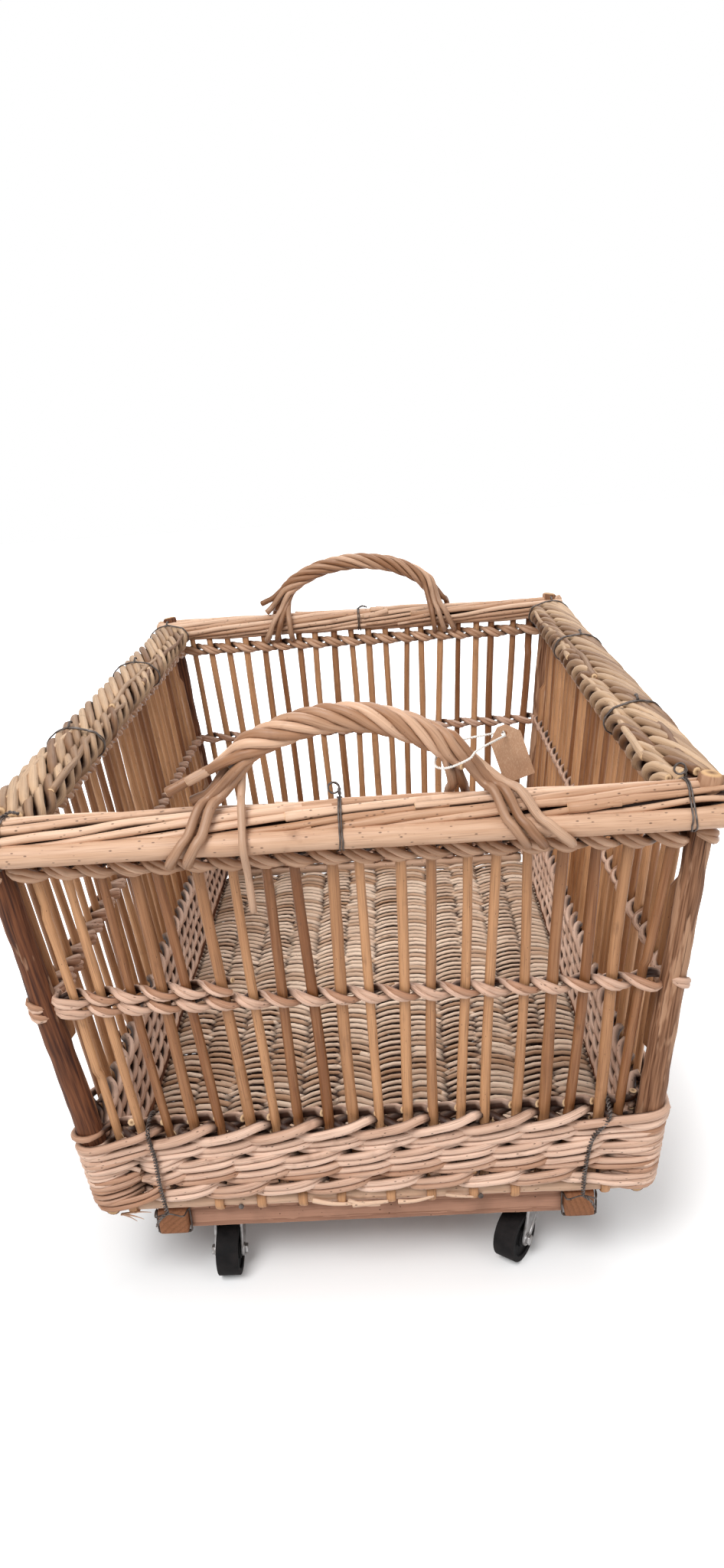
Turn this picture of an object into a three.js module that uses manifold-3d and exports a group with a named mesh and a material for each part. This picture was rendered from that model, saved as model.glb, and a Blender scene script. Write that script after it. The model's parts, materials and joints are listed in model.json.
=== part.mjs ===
// Wicker laundry basket on a wooden frame with four swivel casters.
// Millimetres, +Z up, origin on the ground under the middle, front side towards -Y.
import * as THREE from "three";
import { mergeVertices } from "three/addons/utils/BufferGeometryUtils.js";
import Module from "manifold-3d";

const wasm = await Module();
wasm.setup();

// Overall size
const RIM_LENGTH = 900;
const RIM_WIDTH = 640;
const RIM_TOP = 530;
const LEAN_X = 0.098;
const LEAN_Y = 0.089;
const GAP = 0.3;
const CUT_RUNOUT = 5;

// Casters
const CASTER_INSET = 47;
const CASTER_HEIGHT = 68;
const CASTER_TRAIL = 24;
const WHEEL_DIAMETER = 50;
const WHEEL_WIDTH = 22;
const WHEEL_FACETS = 18;
const TYRE_SHOULDER = 1.5;
const TYRE_DEPTH = 6;
const RIM_RECESS = 2;
const HUB_RADIUS = 8;
const AXLE_RADIUS = 3;
const AXLE_PLAY = 0.3;
const HUB_PLAY = 0.3;
const HUB_PROUD = 0.7;
const FORK_PLATE = 2.5;
const FORK_HALF_DEPTH = 16;
const FORK_LUG_RADIUS = 7;
const BOLT_HEAD_RADIUS = 5.5;
const BOLT_HEAD_THICKNESS = 4;
const MOUNT_PLATE_SIDE = 60;
const MOUNT_PLATE_THICKNESS = 2.5;
const RACE_RADIUS = 18;
const RACE_HEIGHT = 5;
const KINGPIN_RADIUS = 4;
const RIVET_RADIUS = 7;
const RIVET_HEIGHT = 2.5;
const RIVET_ROUNDING = 1;
const PIN_SIDES = 10;

// Wooden frame
const RAIL_INSET = 53.5;
const RAIL_WIDTH = 30;
const RAIL_HEIGHT = 30;
const RAIL_OVERHANG = 2.5;
const RAIL_CHAMFER = 4;
const RAIL_STEP = 2;
const BOARD_THICKNESS = 29;
const BOARD_WIDTH = 80;
const BOARD_CHAMFER = 1.5;
const BOARD_SETBACK = 11;

// Woven base
const BASE_STICK_DIAMETER = 20;
const BASE_STICK_OVERHANG = 13;
const FLOOR_THICKNESS = 16;
const FLOOR_STICKS = 12;
const FLOOR_ROWS = 18;
const FLOOR_ROD_DIAMETER = 4.2;

// Corner posts
const POST_FOOT_RADIUS = 12.5;
const POST_TOP_RADIUS = 10.2;
const POST_PROUD = 3;
const POST_SIDES = 8;

// Woven walls
const BAND_HEIGHT = 90;
const BAND_HALF_THICKNESS = 12;
const WALE_HEIGHT = 15;
const WALE_EXTRA = 3;
const WALE_CREST_SHARES = [0.13, 0.45, 0.8];
const WALE_GROOVE_SHARES = [0.29, 0.62];
const WALE_GROOVE_DEPTH = 6;
const WALE_RISE = 10;
const WALE_STAKES = 2;
const WALE_STEP = 5;
const FITCH_HEIGHT = 16;
const FITCH_HALF_THICKNESS = 11.5;
const FITCH_CREST = 1.5;
const MID_FITCH_Z = 339;
const POST_WRAP = 5;
const STAKE_RADIUS = 5.2;
const STAKE_SIDES = 5;
const TALL_STAKE_EVERY = 5;
const END_STAKES = 20;
const SIDE_STAKES = 30;

// Rim
const STICK_SIDES = 12;
const RIM_STICK_DIAMETER = 19;
const RIM_STICK_DROP = 26;
const BUNDLE_DEPTH = 40;
const BUNDLE_HEIGHT = 34;
const BUNDLE_RODS = 11;
const BUNDLE_RELIEF = 1.4;
const BUNDLE_SETBACK = 9;
const BUNDLE_END_INSET = 6;
const SIDE_RIM_WIDTH = 62;
const SIDE_RIM_HEIGHT = 35;
const SIDE_RIM_OVERHANG = 28;
const SIDE_RIM_SQUARENESS = 0.75;
const SIDE_RIM_POINTS = 20;
const TIE_WIRE = 1.8;
const TIE_RUNS = 16;
const EYE_RADIUS = 4.5;
const EYE_POINTS = 8;

// Handles
const HANDLE_RISE = 85;
const HANDLE_SPAN = 244;
const ROPE_DIAMETER = 25;
const ROPE_STRANDS = 5;
const ROPE_TURNS = 3;
const ROPE_STEPS = 24;
const ROPE_START = 0.22;
const ROPE_VALLEY = 0.84;
const STRAND_RADIUS = 4.6;
const FRONT_STRAND_SPREAD = [-6, 34, 46];
const BACK_STRAND_SPREAD = [-14];
const STRAND_SIDES = 5;
const STRAND_STEPS = 8;

// Paper tag and its string
const TAG_WIDTH = 32;
const TAG_HEIGHT = 50;
const TAG_THICKNESS = 0.8;
const TAG_HOLE_RADIUS = 2.5;
const TAG_HOLE_HEIGHT = 40;
const TAG_OFFSET = 16;
const TAG_TILT = -0.3;
const STRING_DIAMETER = 1.6;
const STRING_SAG = 15;
const STRING_STEPS = 18;

// Places worked out from the sizes
const AXLE_Z = (WHEEL_DIAMETER / 2) * Math.cos(Math.PI / WHEEL_FACETS);
const BOARD_TOP = CASTER_HEIGHT + BOARD_THICKNESS;
const RAIL_TOP = BOARD_TOP + RAIL_STEP;
const BASE_STICK_Z = RAIL_TOP + GAP + BASE_STICK_DIAMETER / 2;
const BASE_TOP = BASE_STICK_Z + BASE_STICK_DIAMETER / 2;
const BAND_BOTTOM = BASE_TOP + GAP;
const BAND_TOP = BAND_BOTTOM + BAND_HEIGHT;
const RIM_STICK_RADIUS = RIM_STICK_DIAMETER / 2;
const RIM_STICK_Z = RIM_TOP - RIM_STICK_DROP;
const RIM_STICK_Y = RIM_LENGTH / 2 - RIM_STICK_RADIUS;
const TOP_FITCH_TOP = RIM_STICK_Z - RIM_STICK_RADIUS - TIE_WIRE - 2 * GAP;
const BUNDLE_Y = RIM_LENGTH / 2 - BUNDLE_SETBACK - BUNDLE_DEPTH / 2;
const BUNDLE_Z = RIM_TOP - BUNDLE_HEIGHT / 2;
const SIDE_RIM_X = RIM_WIDTH / 2 - SIDE_RIM_WIDTH / 2;
const SIDE_RIM_Z = RIM_TOP - SIDE_RIM_HEIGHT / 2;
const POST_TOP = RIM_TOP + POST_PROUD;
const STICK_CREST = RIM_STICK_Z + RIM_STICK_RADIUS;
const POST_REACH = RIM_LENGTH / 2 - RIM_STICK_DIAMETER - GAP - POST_TOP_RADIUS;

// Half the distance between the corner posts' axes at a height, front to back and side to side
const halfLength = (z) => POST_REACH - (STICK_CREST - z) * LEAN_Y;
const halfWidth = (z) => RIM_WIDTH / 2 - SIDE_RIM_OVERHANG - (SIDE_RIM_Z - z) * LEAN_X;

// The frame follows the foot of the basket: rails reach past the base sticks, casters stand amid the boards
const RAIL_X = halfWidth(BASE_STICK_Z) - RAIL_INSET;
const RAIL_LENGTH = 2 * (halfLength(BASE_STICK_Z) + RAIL_OVERHANG);
const BOARD_Y = RAIL_LENGTH / 2 - BOARD_SETBACK - BOARD_WIDTH / 2;
const CASTER_X = RAIL_X - CASTER_INSET;
const CASTER_Y = BOARD_Y;

const postRadius = (z) => {
  const rise = THREE.MathUtils.clamp((z - BAND_BOTTOM) / (STICK_CREST - BAND_BOTTOM), 0, 1);
  return THREE.MathUtils.lerp(POST_FOOT_RADIUS, POST_TOP_RADIUS, rise);
};

// The four walls: outward direction of each, and how many stakes stand in it
const WALLS = {
  front: { across: true, sign: -1, stakes: END_STAKES },
  back: { across: true, sign: 1, stakes: END_STAKES },
  left: { across: false, sign: -1, stakes: SIDE_STAKES },
  right: { across: false, sign: 1, stakes: SIDE_STAKES },
};

const CORNERS = {
  front_left: { x: -1, y: -1 },
  front_right: { x: 1, y: -1 },
  back_left: { x: -1, y: 1 },
  back_right: { x: 1, y: 1 },
};

// Each swivel caster as it stands in the photograph or, at the back, at a likely angle
const CASTER_ANGLES = { front_left: 0, front_right: -35, back_left: 24, back_right: -150 };

// Colours
const PEELED = { color: 0xc79a6b, roughness: 0.62, metalness: 0 };
const BUFF = { color: 0xc8a07a, roughness: 0.7, metalness: 0 };
const STAKE_TAN = { color: 0xa87b4c, roughness: 0.62, metalness: 0 };
const BARK = { color: 0x7d5433, roughness: 0.75, metalness: 0 };
const FLOOR_GREY = { color: 0xb09468, roughness: 0.8, metalness: 0 };
const PINE = { color: 0x9a6a48, roughness: 0.8, metalness: 0 };
const ZINC = { color: 0x9a9a98, roughness: 0.42, metalness: 0.9 };
const BLACK_RUBBER = { color: 0x15161a, roughness: 0.5, metalness: 0 };
const IRON = { color: 0x4b443f, roughness: 0.6, metalness: 0.7 };
const PAPER = { color: 0xa8805a, roughness: 0.9, metalness: 0 };
const STRING = { color: 0xe8e4dc, roughness: 0.9, metalness: 0 };

const group = new THREE.Group();

function add(name, shape, finish, parent = group) {
  const geometry = shape instanceof THREE.BufferGeometry ? welded(shape) : toGeometry(shape);
  const mesh = new THREE.Mesh(geometry, new THREE.MeshStandardMaterial(finish));
  mesh.name = name;
  parent.add(mesh);
  return mesh;
}

// One vertex per corner, no slivers, faces turned outwards
function welded(geometry) {
  const bare = geometry.clone();
  bare.deleteAttribute("normal");
  bare.deleteAttribute("uv");
  const merged = mergeVertices(bare, 1e-4);
  const index = [];
  for (let i = 0; i < merged.index.count; i += 3) {
    const [a, b, c] = [0, 1, 2].map((k) => merged.index.getX(i + k));
    if (a !== b && b !== c && c !== a) index.push(a, b, c);
  }
  return outward(Array.from(merged.attributes.position.array), index);
}

function toSolid(geometry) {
  const closed = welded(geometry);
  const mesh = new wasm.Mesh({
    numProp: 3,
    vertProperties: new Float32Array(closed.attributes.position.array),
    triVerts: new Uint32Array(closed.index.array),
  });
  return new wasm.Manifold(mesh);
}

function toGeometry(solid) {
  const mesh = solid.getMesh();
  const geometry = new THREE.BufferGeometry();
  geometry.setAttribute("position", new THREE.BufferAttribute(mesh.vertProperties, 3));
  geometry.setIndex(new THREE.BufferAttribute(mesh.triVerts, 1));
  return geometry;
}

const join = (solids) => solids.reduce((whole, next) => whole.add(next));
const cut = (solid, tools) => tools.reduce((left, tool) => left.subtract(tool), solid);

// A skin through rings of points, closed on itself or capped at both ends
function loft(rings, closed = false) {
  const count = rings[0].length;
  const positions = rings.flat().flatMap((p) => [p.x, p.y, p.z]);
  const index = [];
  const last = closed ? rings.length : rings.length - 1;
  for (let i = 0; i < last; i += 1) {
    const here = i * count;
    const there = ((i + 1) % rings.length) * count;
    for (let k = 0; k < count; k += 1) {
      const next = (k + 1) % count;
      index.push(here + k, here + next, there + next);
      index.push(here + k, there + next, there + k);
    }
  }
  if (!closed) {
    capRing(rings[0], 0, positions, index, true);
    capRing(rings[rings.length - 1], (rings.length - 1) * count, positions, index, false);
  }
  return outward(positions, index);
}

function capRing(ring, start, positions, index, flip) {
  const centre = new THREE.Vector3();
  ring.forEach((p) => centre.add(p));
  centre.divideScalar(ring.length);
  const middle = positions.length / 3;
  positions.push(centre.x, centre.y, centre.z);
  for (let k = 0; k < ring.length; k += 1) {
    const next = (k + 1) % ring.length;
    if (flip) index.push(middle, start + next, start + k);
    else index.push(middle, start + k, start + next);
  }
}

// Turns the triangles so that the volume they close is positive
function outward(positions, index) {
  const corner = (i) => new THREE.Vector3().fromArray(positions, 3 * i);
  let volume = 0;
  for (let i = 0; i < index.length; i += 3) {
    const normal = corner(index[i + 1]).cross(corner(index[i + 2]));
    volume += corner(index[i]).dot(normal);
  }
  const faces = volume < 0 ? index.slice().reverse() : index;
  const geometry = new THREE.BufferGeometry();
  geometry.setAttribute("position", new THREE.Float32BufferAttribute(positions, 3));
  geometry.setIndex(faces);
  return geometry;
}

// A flat ring of points round a centre, level with the ground
function levelRing(centre, radius, sides, turn = 0) {
  return Array.from({ length: sides }, (_, k) => {
    const angle = turn + (2 * Math.PI * k) / sides;
    return new THREE.Vector3(
      centre.x + radius * Math.cos(angle),
      centre.y + radius * Math.sin(angle),
      centre.z,
    );
  });
}

// A section carried along points; section(i) gives offsets across and along the plane's normal
function sweep(points, section, { closed = false, binormal = null } = {}) {
  const count = points.length;
  const rings = [];
  let across = null;
  for (let i = 0; i < count; i += 1) {
    const before = closed ? points[(i + count - 1) % count] : points[Math.max(i - 1, 0)];
    const after = closed ? points[(i + 1) % count] : points[Math.min(i + 1, count - 1)];
    const tangent = after.clone().sub(before).normalize();
    if (binormal) across = binormal.clone().cross(tangent).normalize();
    else if (across) across.addScaledVector(tangent, -across.dot(tangent)).normalize();
    else across = firstNormal(tangent);
    const up = tangent.clone().cross(across);
    const here = across;
    rings.push(section(i).map(([a, b]) => points[i].clone().addScaledVector(here, a).addScaledVector(up, b)));
    across = across.clone();
  }
  return loft(rings, closed);
}

function firstNormal(tangent) {
  const helper = Math.abs(tangent.x) < 0.8 ? new THREE.Vector3(1, 0, 0) : new THREE.Vector3(0, 0, 1);
  return helper.addScaledVector(tangent, -helper.dot(tangent)).normalize();
}

function roundSection(radius, sides) {
  const section = Array.from({ length: sides }, (_, k) => {
    const angle = (2 * Math.PI * (k + 0.5)) / sides;
    return [radius * Math.cos(angle), radius * Math.sin(angle)];
  });
  return () => section;
}

function smooth(points, steps) {
  return new THREE.CatmullRomCurve3(points, false, "centripetal").getSpacedPoints(steps);
}

// A round stick lying along X or Y
function stick(from, to, radius, sides = STICK_SIDES) {
  const axis = to.clone().sub(from);
  const geometry = new THREE.CylinderGeometry(radius, radius, axis.length(), sides);
  const turn = new THREE.Quaternion().setFromUnitVectors(
    new THREE.Vector3(0, 1, 0),
    axis.clone().normalize(),
  );
  geometry.applyQuaternion(turn);
  const middle = from.clone().add(to).multiplyScalar(0.5);
  return geometry.translate(middle.x, middle.y, middle.z);
}

// A sawn timber with its long edges chamfered, lying along Y with its middle at the origin
function timber(width, height, length, chamfer) {
  const shape = new THREE.Shape();
  const w = width / 2;
  const h = height / 2;
  shape.moveTo(-w + chamfer, -h);
  shape.lineTo(w - chamfer, -h);
  shape.lineTo(w, -h + chamfer);
  shape.lineTo(w, h - chamfer);
  shape.lineTo(w - chamfer, h);
  shape.lineTo(-w + chamfer, h);
  shape.lineTo(-w, h - chamfer);
  shape.lineTo(-w, -h + chamfer);
  shape.closePath();
  const geometry = new THREE.ExtrudeGeometry(shape, {
    depth: length - 2 * chamfer,
    bevelEnabled: true,
    bevelThickness: chamfer,
    bevelSize: chamfer / 2,
    bevelOffset: -chamfer / 2,
    bevelSegments: 1,
  });
  return geometry.translate(0, 0, -length / 2 + chamfer).rotateX(Math.PI / 2);
}

// A point on a wall: share of its half width, distance out from its middle, height
function wallPoint(wall, share, out, z) {
  if (wall.across) {
    return new THREE.Vector3(share * halfWidth(z), wall.sign * (halfLength(z) + out), z);
  }
  return new THREE.Vector3(wall.sign * (halfWidth(z) + out), share * halfLength(z), z);
}

const postAxis = (corner, z) => new THREE.Vector3(corner.x * halfWidth(z), corner.y * halfLength(z), z);

// Corner posts
function post(corner, margin = 0, from = BAND_BOTTOM, to = POST_TOP) {
  const rings = [from, STICK_CREST, to].map((z) => {
    return levelRing(postAxis(corner, z), postRadius(z) + margin, POST_SIDES);
  });
  return loft(rings);
}

const postHoles = () => {
  const from = BAND_BOTTOM - CUT_RUNOUT;
  const to = POST_TOP + CUT_RUNOUT;
  return Object.values(CORNERS).map((corner) => toSolid(post(corner, GAP, from, to)));
};

// A woven ring round the whole basket, from sections that give distance out and height
function wovenRing(sections, ends) {
  const ring = toSolid(loft(sections, true));
  const sleeves = Object.values(CORNERS).map((corner) => {
    const rings = ends.map((z) => levelRing(postAxis(corner, z), postRadius(z) + POST_WRAP, POST_SIDES));
    return toSolid(loft(rings));
  });
  return join([ring, ...sleeves]);
}

// The section where a ring turns round a corner post
function cornerSection(corner, outline) {
  return outline.map(([out, z]) => {
    return new THREE.Vector3(corner.x * (halfWidth(z) + out), corner.y * (halfLength(z) + out), z);
  });
}

// Outline of the band with its three waled rounds; lift raises the crests and grooves on the outside
function bandOutline(lift) {
  const at = (share) => BAND_BOTTOM + share * BAND_HEIGHT;
  const groove = BAND_HALF_THICKNESS - WALE_GROOVE_DEPTH;
  const [low, middle, high] = WALE_CREST_SHARES.map((share) => at(share) + lift);
  const [under, over] = WALE_GROOVE_SHARES.map((share) => at(share) + lift);
  return [
    [BAND_HALF_THICKNESS - WALE_EXTRA, BAND_BOTTOM],
    [BAND_HALF_THICKNESS, low],
    [groove, under],
    [BAND_HALF_THICKNESS, middle],
    [groove, over],
    [BAND_HALF_THICKNESS + WALE_EXTRA, high],
    [BAND_HALF_THICKNESS, BAND_TOP],
    [-BAND_HALF_THICKNESS, BAND_TOP],
    [-BAND_HALF_THICKNESS, at(WALE_CREST_SHARES[2])],
    [-groove, at(WALE_GROOVE_SHARES[1])],
    [-BAND_HALF_THICKNESS, at(WALE_CREST_SHARES[1])],
    [-groove, at(WALE_GROOVE_SHARES[0])],
    [-BAND_HALF_THICKNESS, at(WALE_CREST_SHARES[0])],
    [-BAND_HALF_THICKNESS + WALE_EXTRA, BAND_BOTTOM],
  ];
}

// Sections along one wall: every stroke of the wale climbs past two stakes, then the next starts low
function bandStrokes(wall, turn) {
  const bays = wall.stakes + 1;
  const length = wall.across ? 2 * halfWidth(BAND_TOP) : 2 * halfLength(BAND_TOP);
  const step = WALE_STEP / length;
  const section = (share, lift) => {
    return bandOutline(lift).map(([out, z]) => wallPoint(wall, turn * share, out, z));
  };
  const strokes = Math.ceil(bays / WALE_STAKES) - 1;
  return Array.from({ length: strokes }, (_, i) => {
    const share = (2 * (i + 1) * WALE_STAKES) / bays - 1;
    return [section(share - step, WALE_RISE / 2), section(share + step, -WALE_RISE / 2)];
  }).flat();
}

// Three waled rounds, the thickest on top
function lowerBand() {
  const flat = bandOutline(0);
  const sections = [
    cornerSection(CORNERS.front_left, flat),
    ...bandStrokes(WALLS.front, 1),
    cornerSection(CORNERS.front_right, flat),
    ...bandStrokes(WALLS.right, 1),
    cornerSection(CORNERS.back_right, flat),
    ...bandStrokes(WALLS.back, -1),
    cornerSection(CORNERS.back_left, flat),
    ...bandStrokes(WALLS.left, -1),
  ];
  return wovenRing(sections, [BAND_BOTTOM, BAND_TOP]);
}

function fitch(top) {
  const bottom = top - FITCH_HEIGHT;
  const edge = FITCH_HALF_THICKNESS - FITCH_CREST;
  const outline = [
    [edge, bottom],
    [FITCH_HALF_THICKNESS, (top + bottom) / 2],
    [edge, top],
    [-edge, top],
    [-FITCH_HALF_THICKNESS, (top + bottom) / 2],
    [-edge, bottom],
  ];
  const turns = [CORNERS.front_left, CORNERS.front_right, CORNERS.back_right, CORNERS.back_left];
  return wovenRing(turns.map((corner) => cornerSection(corner, outline)), [bottom, top]);
}

// The quarter of the basket in front of one wall, cut on the diagonals through the corner posts
function wallQuarter(wall) {
  const reach = 3 * BAND_HALF_THICKNESS;
  const joint = GAP * Math.SQRT1_2;
  const plan = (z) => {
    const along = wall.across ? halfWidth(z) : halfLength(z);
    const place = (end, out) => {
      const share = end * (along + out - joint);
      if (wall.across) return new THREE.Vector3(share, wall.sign * (halfLength(z) + out), z);
      return new THREE.Vector3(wall.sign * (halfWidth(z) + out), share, z);
    };
    return [place(-1, reach), place(1, reach), place(1, -reach), place(-1, -reach)];
  };
  return toSolid(loft([plan(BAND_BOTTOM - GAP), plan(RIM_TOP)]));
}

function stakeShares(wall) {
  return Array.from({ length: wall.stakes }, (_, i) => (2 * (i + 1)) / (wall.stakes + 1) - 1);
}

// Every few stakes run on through the top fitch to carry the rim; the rest end inside it
function stakes(wall) {
  const underside = wall.across ? BUNDLE_Z - BUNDLE_HEIGHT / 2 : SIDE_RIM_Z - SIDE_RIM_HEIGHT / 2;
  return stakeShares(wall).map((share, i) => {
    const tall = i % TALL_STAKE_EVERY === 0 || i === wall.stakes - 1;
    const ends = [BAND_TOP - WALE_HEIGHT, tall ? underside - GAP : TOP_FITCH_TOP - FITCH_HEIGHT / 2];
    const ringAt = (z) => levelRing(wallPoint(wall, share, 0, z), STAKE_RADIUS, STAKE_SIDES);
    return toSolid(loft(ends.map(ringAt)));
  });
}

function addWalls() {
  const woven = join([lowerBand(), fitch(MID_FITCH_Z + FITCH_HEIGHT / 2), fitch(TOP_FITCH_TOP)]);
  const fitted = cut(woven, postHoles());
  for (const [name, wall] of Object.entries(WALLS)) {
    const bands = fitted.intersect(wallQuarter(wall));
    add(`wall_${name}`, join([bands, ...stakes(wall)]), name === "front" ? STAKE_TAN : BUFF);
  }
  for (const [name, corner] of Object.entries(CORNERS)) add(`post_${name}`, post(corner), BARK);
}

// Woven base: four round sticks round a ribbed floor
function addBase() {
  const radius = BASE_STICK_DIAMETER / 2;
  const x = halfWidth(BASE_STICK_Z);
  const y = halfLength(BASE_STICK_Z);
  const endReach = x - radius - GAP;
  const sideReach = y + BASE_STICK_OVERHANG;
  for (const [name, wall] of Object.entries(WALLS)) {
    const from = wall.across
      ? new THREE.Vector3(-endReach, wall.sign * y, BASE_STICK_Z)
      : new THREE.Vector3(wall.sign * x, -sideReach, BASE_STICK_Z);
    const to = from.clone();
    if (wall.across) to.x = endReach;
    else to.y = sideReach;
    add(`base_stick_${name}`, stick(from, to, radius), wall.across ? PEELED : BARK);
  }
  add("floor_weave", floorPanel(x - radius - GAP, y - radius - GAP), FLOOR_GREY);
}

// The floor's rows of rods pass over one lengthwise stick and under the next
function floorPanel(halfX, halfY) {
  const columns = 2 * FLOOR_STICKS;
  const woven = new THREE.BoxGeometry(2 * halfX, 2 * halfY, FLOOR_THICKNESS, columns, FLOOR_ROWS, 1);
  const places = woven.getAttribute("position");
  for (let n = 0; n < places.count; n += 1) {
    const column = Math.round((columns * (places.getX(n) + halfX)) / (2 * halfX));
    const row = Math.round((FLOOR_ROWS * (places.getY(n) + halfY)) / (2 * halfY));
    places.setZ(n, floorHeight(column, row, Math.sign(places.getZ(n))));
  }
  return welded(woven).translate(0, 0, RAIL_TOP + GAP + FLOOR_THICKNESS / 2);
}

// Height of the floor's upper or lower face from its middle; odd columns lie on a stick
function floorHeight(column, row, face) {
  if (column % 2 === 0) return (face * FLOOR_ROD_DIAMETER) / 2;
  const over = ((column - 1) / 2 + row) % 2 === 0 ? 1 : -1;
  const crest = FLOOR_THICKNESS / 2;
  return face * (over === face ? crest : crest - FLOOR_ROD_DIAMETER);
}

// Wooden frame: two rails with a caster board between them at each end
function addFrame() {
  const railZ = RAIL_TOP - RAIL_HEIGHT / 2;
  const boardSpan = 2 * RAIL_X - RAIL_WIDTH - 2 * GAP;
  for (const [name, side] of [["left", -1], ["right", 1]]) {
    const rail = timber(RAIL_WIDTH, RAIL_HEIGHT, RAIL_LENGTH, RAIL_CHAMFER);
    add(`rail_${name}`, rail.translate(side * RAIL_X, 0, railZ), PINE);
  }
  for (const [name, side] of [["front", -1], ["back", 1]]) {
    const board = timber(BOARD_WIDTH, BOARD_THICKNESS, boardSpan, BOARD_CHAMFER).rotateZ(Math.PI / 2);
    add(`board_${name}`, board.translate(0, side * BOARD_Y, BOARD_TOP - BOARD_THICKNESS / 2), PINE);
  }
}

// Casters
function mountPlate() {
  const side = MOUNT_PLATE_SIDE;
  const top = CASTER_HEIGHT - GAP;
  const plate = timber(side, MOUNT_PLATE_THICKNESS, side, MOUNT_PLATE_THICKNESS / 3);
  plate.translate(0, 0, top - MOUNT_PLATE_THICKNESS / 2);
  const under = top - MOUNT_PLATE_THICKNESS;
  const bridgeFoot = under - RACE_HEIGHT - GAP - FORK_PLATE;
  const profile = [
    [0, under + MOUNT_PLATE_THICKNESS / 2],
    [RACE_RADIUS, under + MOUNT_PLATE_THICKNESS / 2],
    [RACE_RADIUS, under - RACE_HEIGHT / 2],
    [RACE_RADIUS - RACE_HEIGHT / 2, under - RACE_HEIGHT],
    [KINGPIN_RADIUS, under - RACE_HEIGHT],
    [KINGPIN_RADIUS, bridgeFoot - GAP],
    [RIVET_RADIUS, bridgeFoot - GAP],
    [RIVET_RADIUS - RIVET_ROUNDING, bridgeFoot - GAP - RIVET_HEIGHT],
    [0, bridgeFoot - GAP - RIVET_HEIGHT],
  ].map(([r, z]) => new THREE.Vector2(r, z));
  const race = new THREE.LatheGeometry(profile, PIN_SIDES).rotateX(Math.PI / 2);
  return join([toSolid(plate), toSolid(race)]);
}

const pin = (radius, length) => new THREE.CylinderGeometry(radius, radius, length, PIN_SIDES);

// Pressed fork: a bridge under the race and two legs that sweep back to the axle
function fork() {
  const bridgeTop = CASTER_HEIGHT - GAP - MOUNT_PLATE_THICKNESS - RACE_HEIGHT - GAP;
  const bridgeFoot = bridgeTop - FORK_PLATE;
  const inner = WHEEL_WIDTH / 2 + HUB_PROUD + HUB_PLAY;
  const outer = inner + FORK_PLATE;
  const leg = new THREE.Shape();
  leg.moveTo(FORK_HALF_DEPTH, bridgeTop);
  leg.lineTo(FORK_HALF_DEPTH, bridgeFoot - FORK_PLATE);
  leg.absarc(-CASTER_TRAIL, AXLE_Z, FORK_LUG_RADIUS, -Math.PI / 6, -Math.PI, true);
  leg.lineTo(-FORK_HALF_DEPTH - FORK_PLATE, bridgeFoot - FORK_PLATE);
  leg.lineTo(-FORK_HALF_DEPTH, bridgeTop);
  leg.closePath();
  const legAt = (x) => {
    const flat = { depth: FORK_PLATE, bevelEnabled: false, curveSegments: 5 };
    return toSolid(standAcross(new THREE.ExtrudeGeometry(leg, flat)).translate(x, 0, 0));
  };
  const bridge = new THREE.BoxGeometry(2 * outer, 2 * FORK_HALF_DEPTH, FORK_PLATE);
  bridge.translate(0, 0, (bridgeTop + bridgeFoot) / 2);
  const kingpin = pin(KINGPIN_RADIUS + GAP, 4 * FORK_PLATE);
  kingpin.rotateX(Math.PI / 2).translate(0, 0, bridgeTop);
  const axle = pin(AXLE_RADIUS + AXLE_PLAY, 4 * outer);
  axle.rotateZ(Math.PI / 2).translate(0, -CASTER_TRAIL, AXLE_Z);
  const whole = join([toSolid(bridge), legAt(-outer), legAt(inner)]);
  return cut(whole, [toSolid(kingpin), toSolid(axle)]);
}

// Turns a shape drawn in (y, z) and given thickness so that its thickness runs along X
function standAcross(geometry) {
  const turn = new THREE.Matrix4().makeBasis(
    new THREE.Vector3(0, 1, 0),
    new THREE.Vector3(0, 0, 1),
    new THREE.Vector3(1, 0, 0),
  );
  return geometry.applyMatrix4(turn);
}

// Axle bolt with its hexagonal head and nut
function axleBolt() {
  const outer = WHEEL_WIDTH / 2 + HUB_PROUD + HUB_PLAY + FORK_PLATE + GAP;
  const shaft = pin(AXLE_RADIUS, 2 * outer + BOLT_HEAD_THICKNESS);
  const heads = [-1, 1].map((end) => {
    const head = new THREE.CylinderGeometry(BOLT_HEAD_RADIUS, BOLT_HEAD_RADIUS, BOLT_HEAD_THICKNESS, 6);
    return toSolid(head.translate(0, end * (outer + BOLT_HEAD_THICKNESS / 2), 0));
  });
  const whole = toGeometry(join([toSolid(shaft), ...heads]));
  return whole.rotateZ(Math.PI / 2).translate(0, -CASTER_TRAIL, AXLE_Z);
}

function wheel() {
  const radius = WHEEL_DIAMETER / 2;
  const half = WHEEL_WIDTH / 2;
  const rimRadius = radius - TYRE_DEPTH;
  const bore = AXLE_RADIUS + AXLE_PLAY;
  const side = (s) => [
    [bore, s * (half + HUB_PROUD)],
    [HUB_RADIUS, s * (half + HUB_PROUD)],
    [HUB_RADIUS, s * (half - RIM_RECESS)],
    [rimRadius, s * half],
    [radius - TYRE_SHOULDER, s * half],
    [radius, s * (half - 2 * TYRE_SHOULDER)],
  ];
  const profile = [...side(-1), ...side(1).reverse()].map(([r, w]) => new THREE.Vector2(r, w));
  profile.push(profile[0].clone());
  const geometry = new THREE.LatheGeometry(profile, WHEEL_FACETS, Math.PI / WHEEL_FACETS);
  return geometry.rotateZ(Math.PI / 2).translate(0, -CASTER_TRAIL, AXLE_Z);
}

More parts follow.
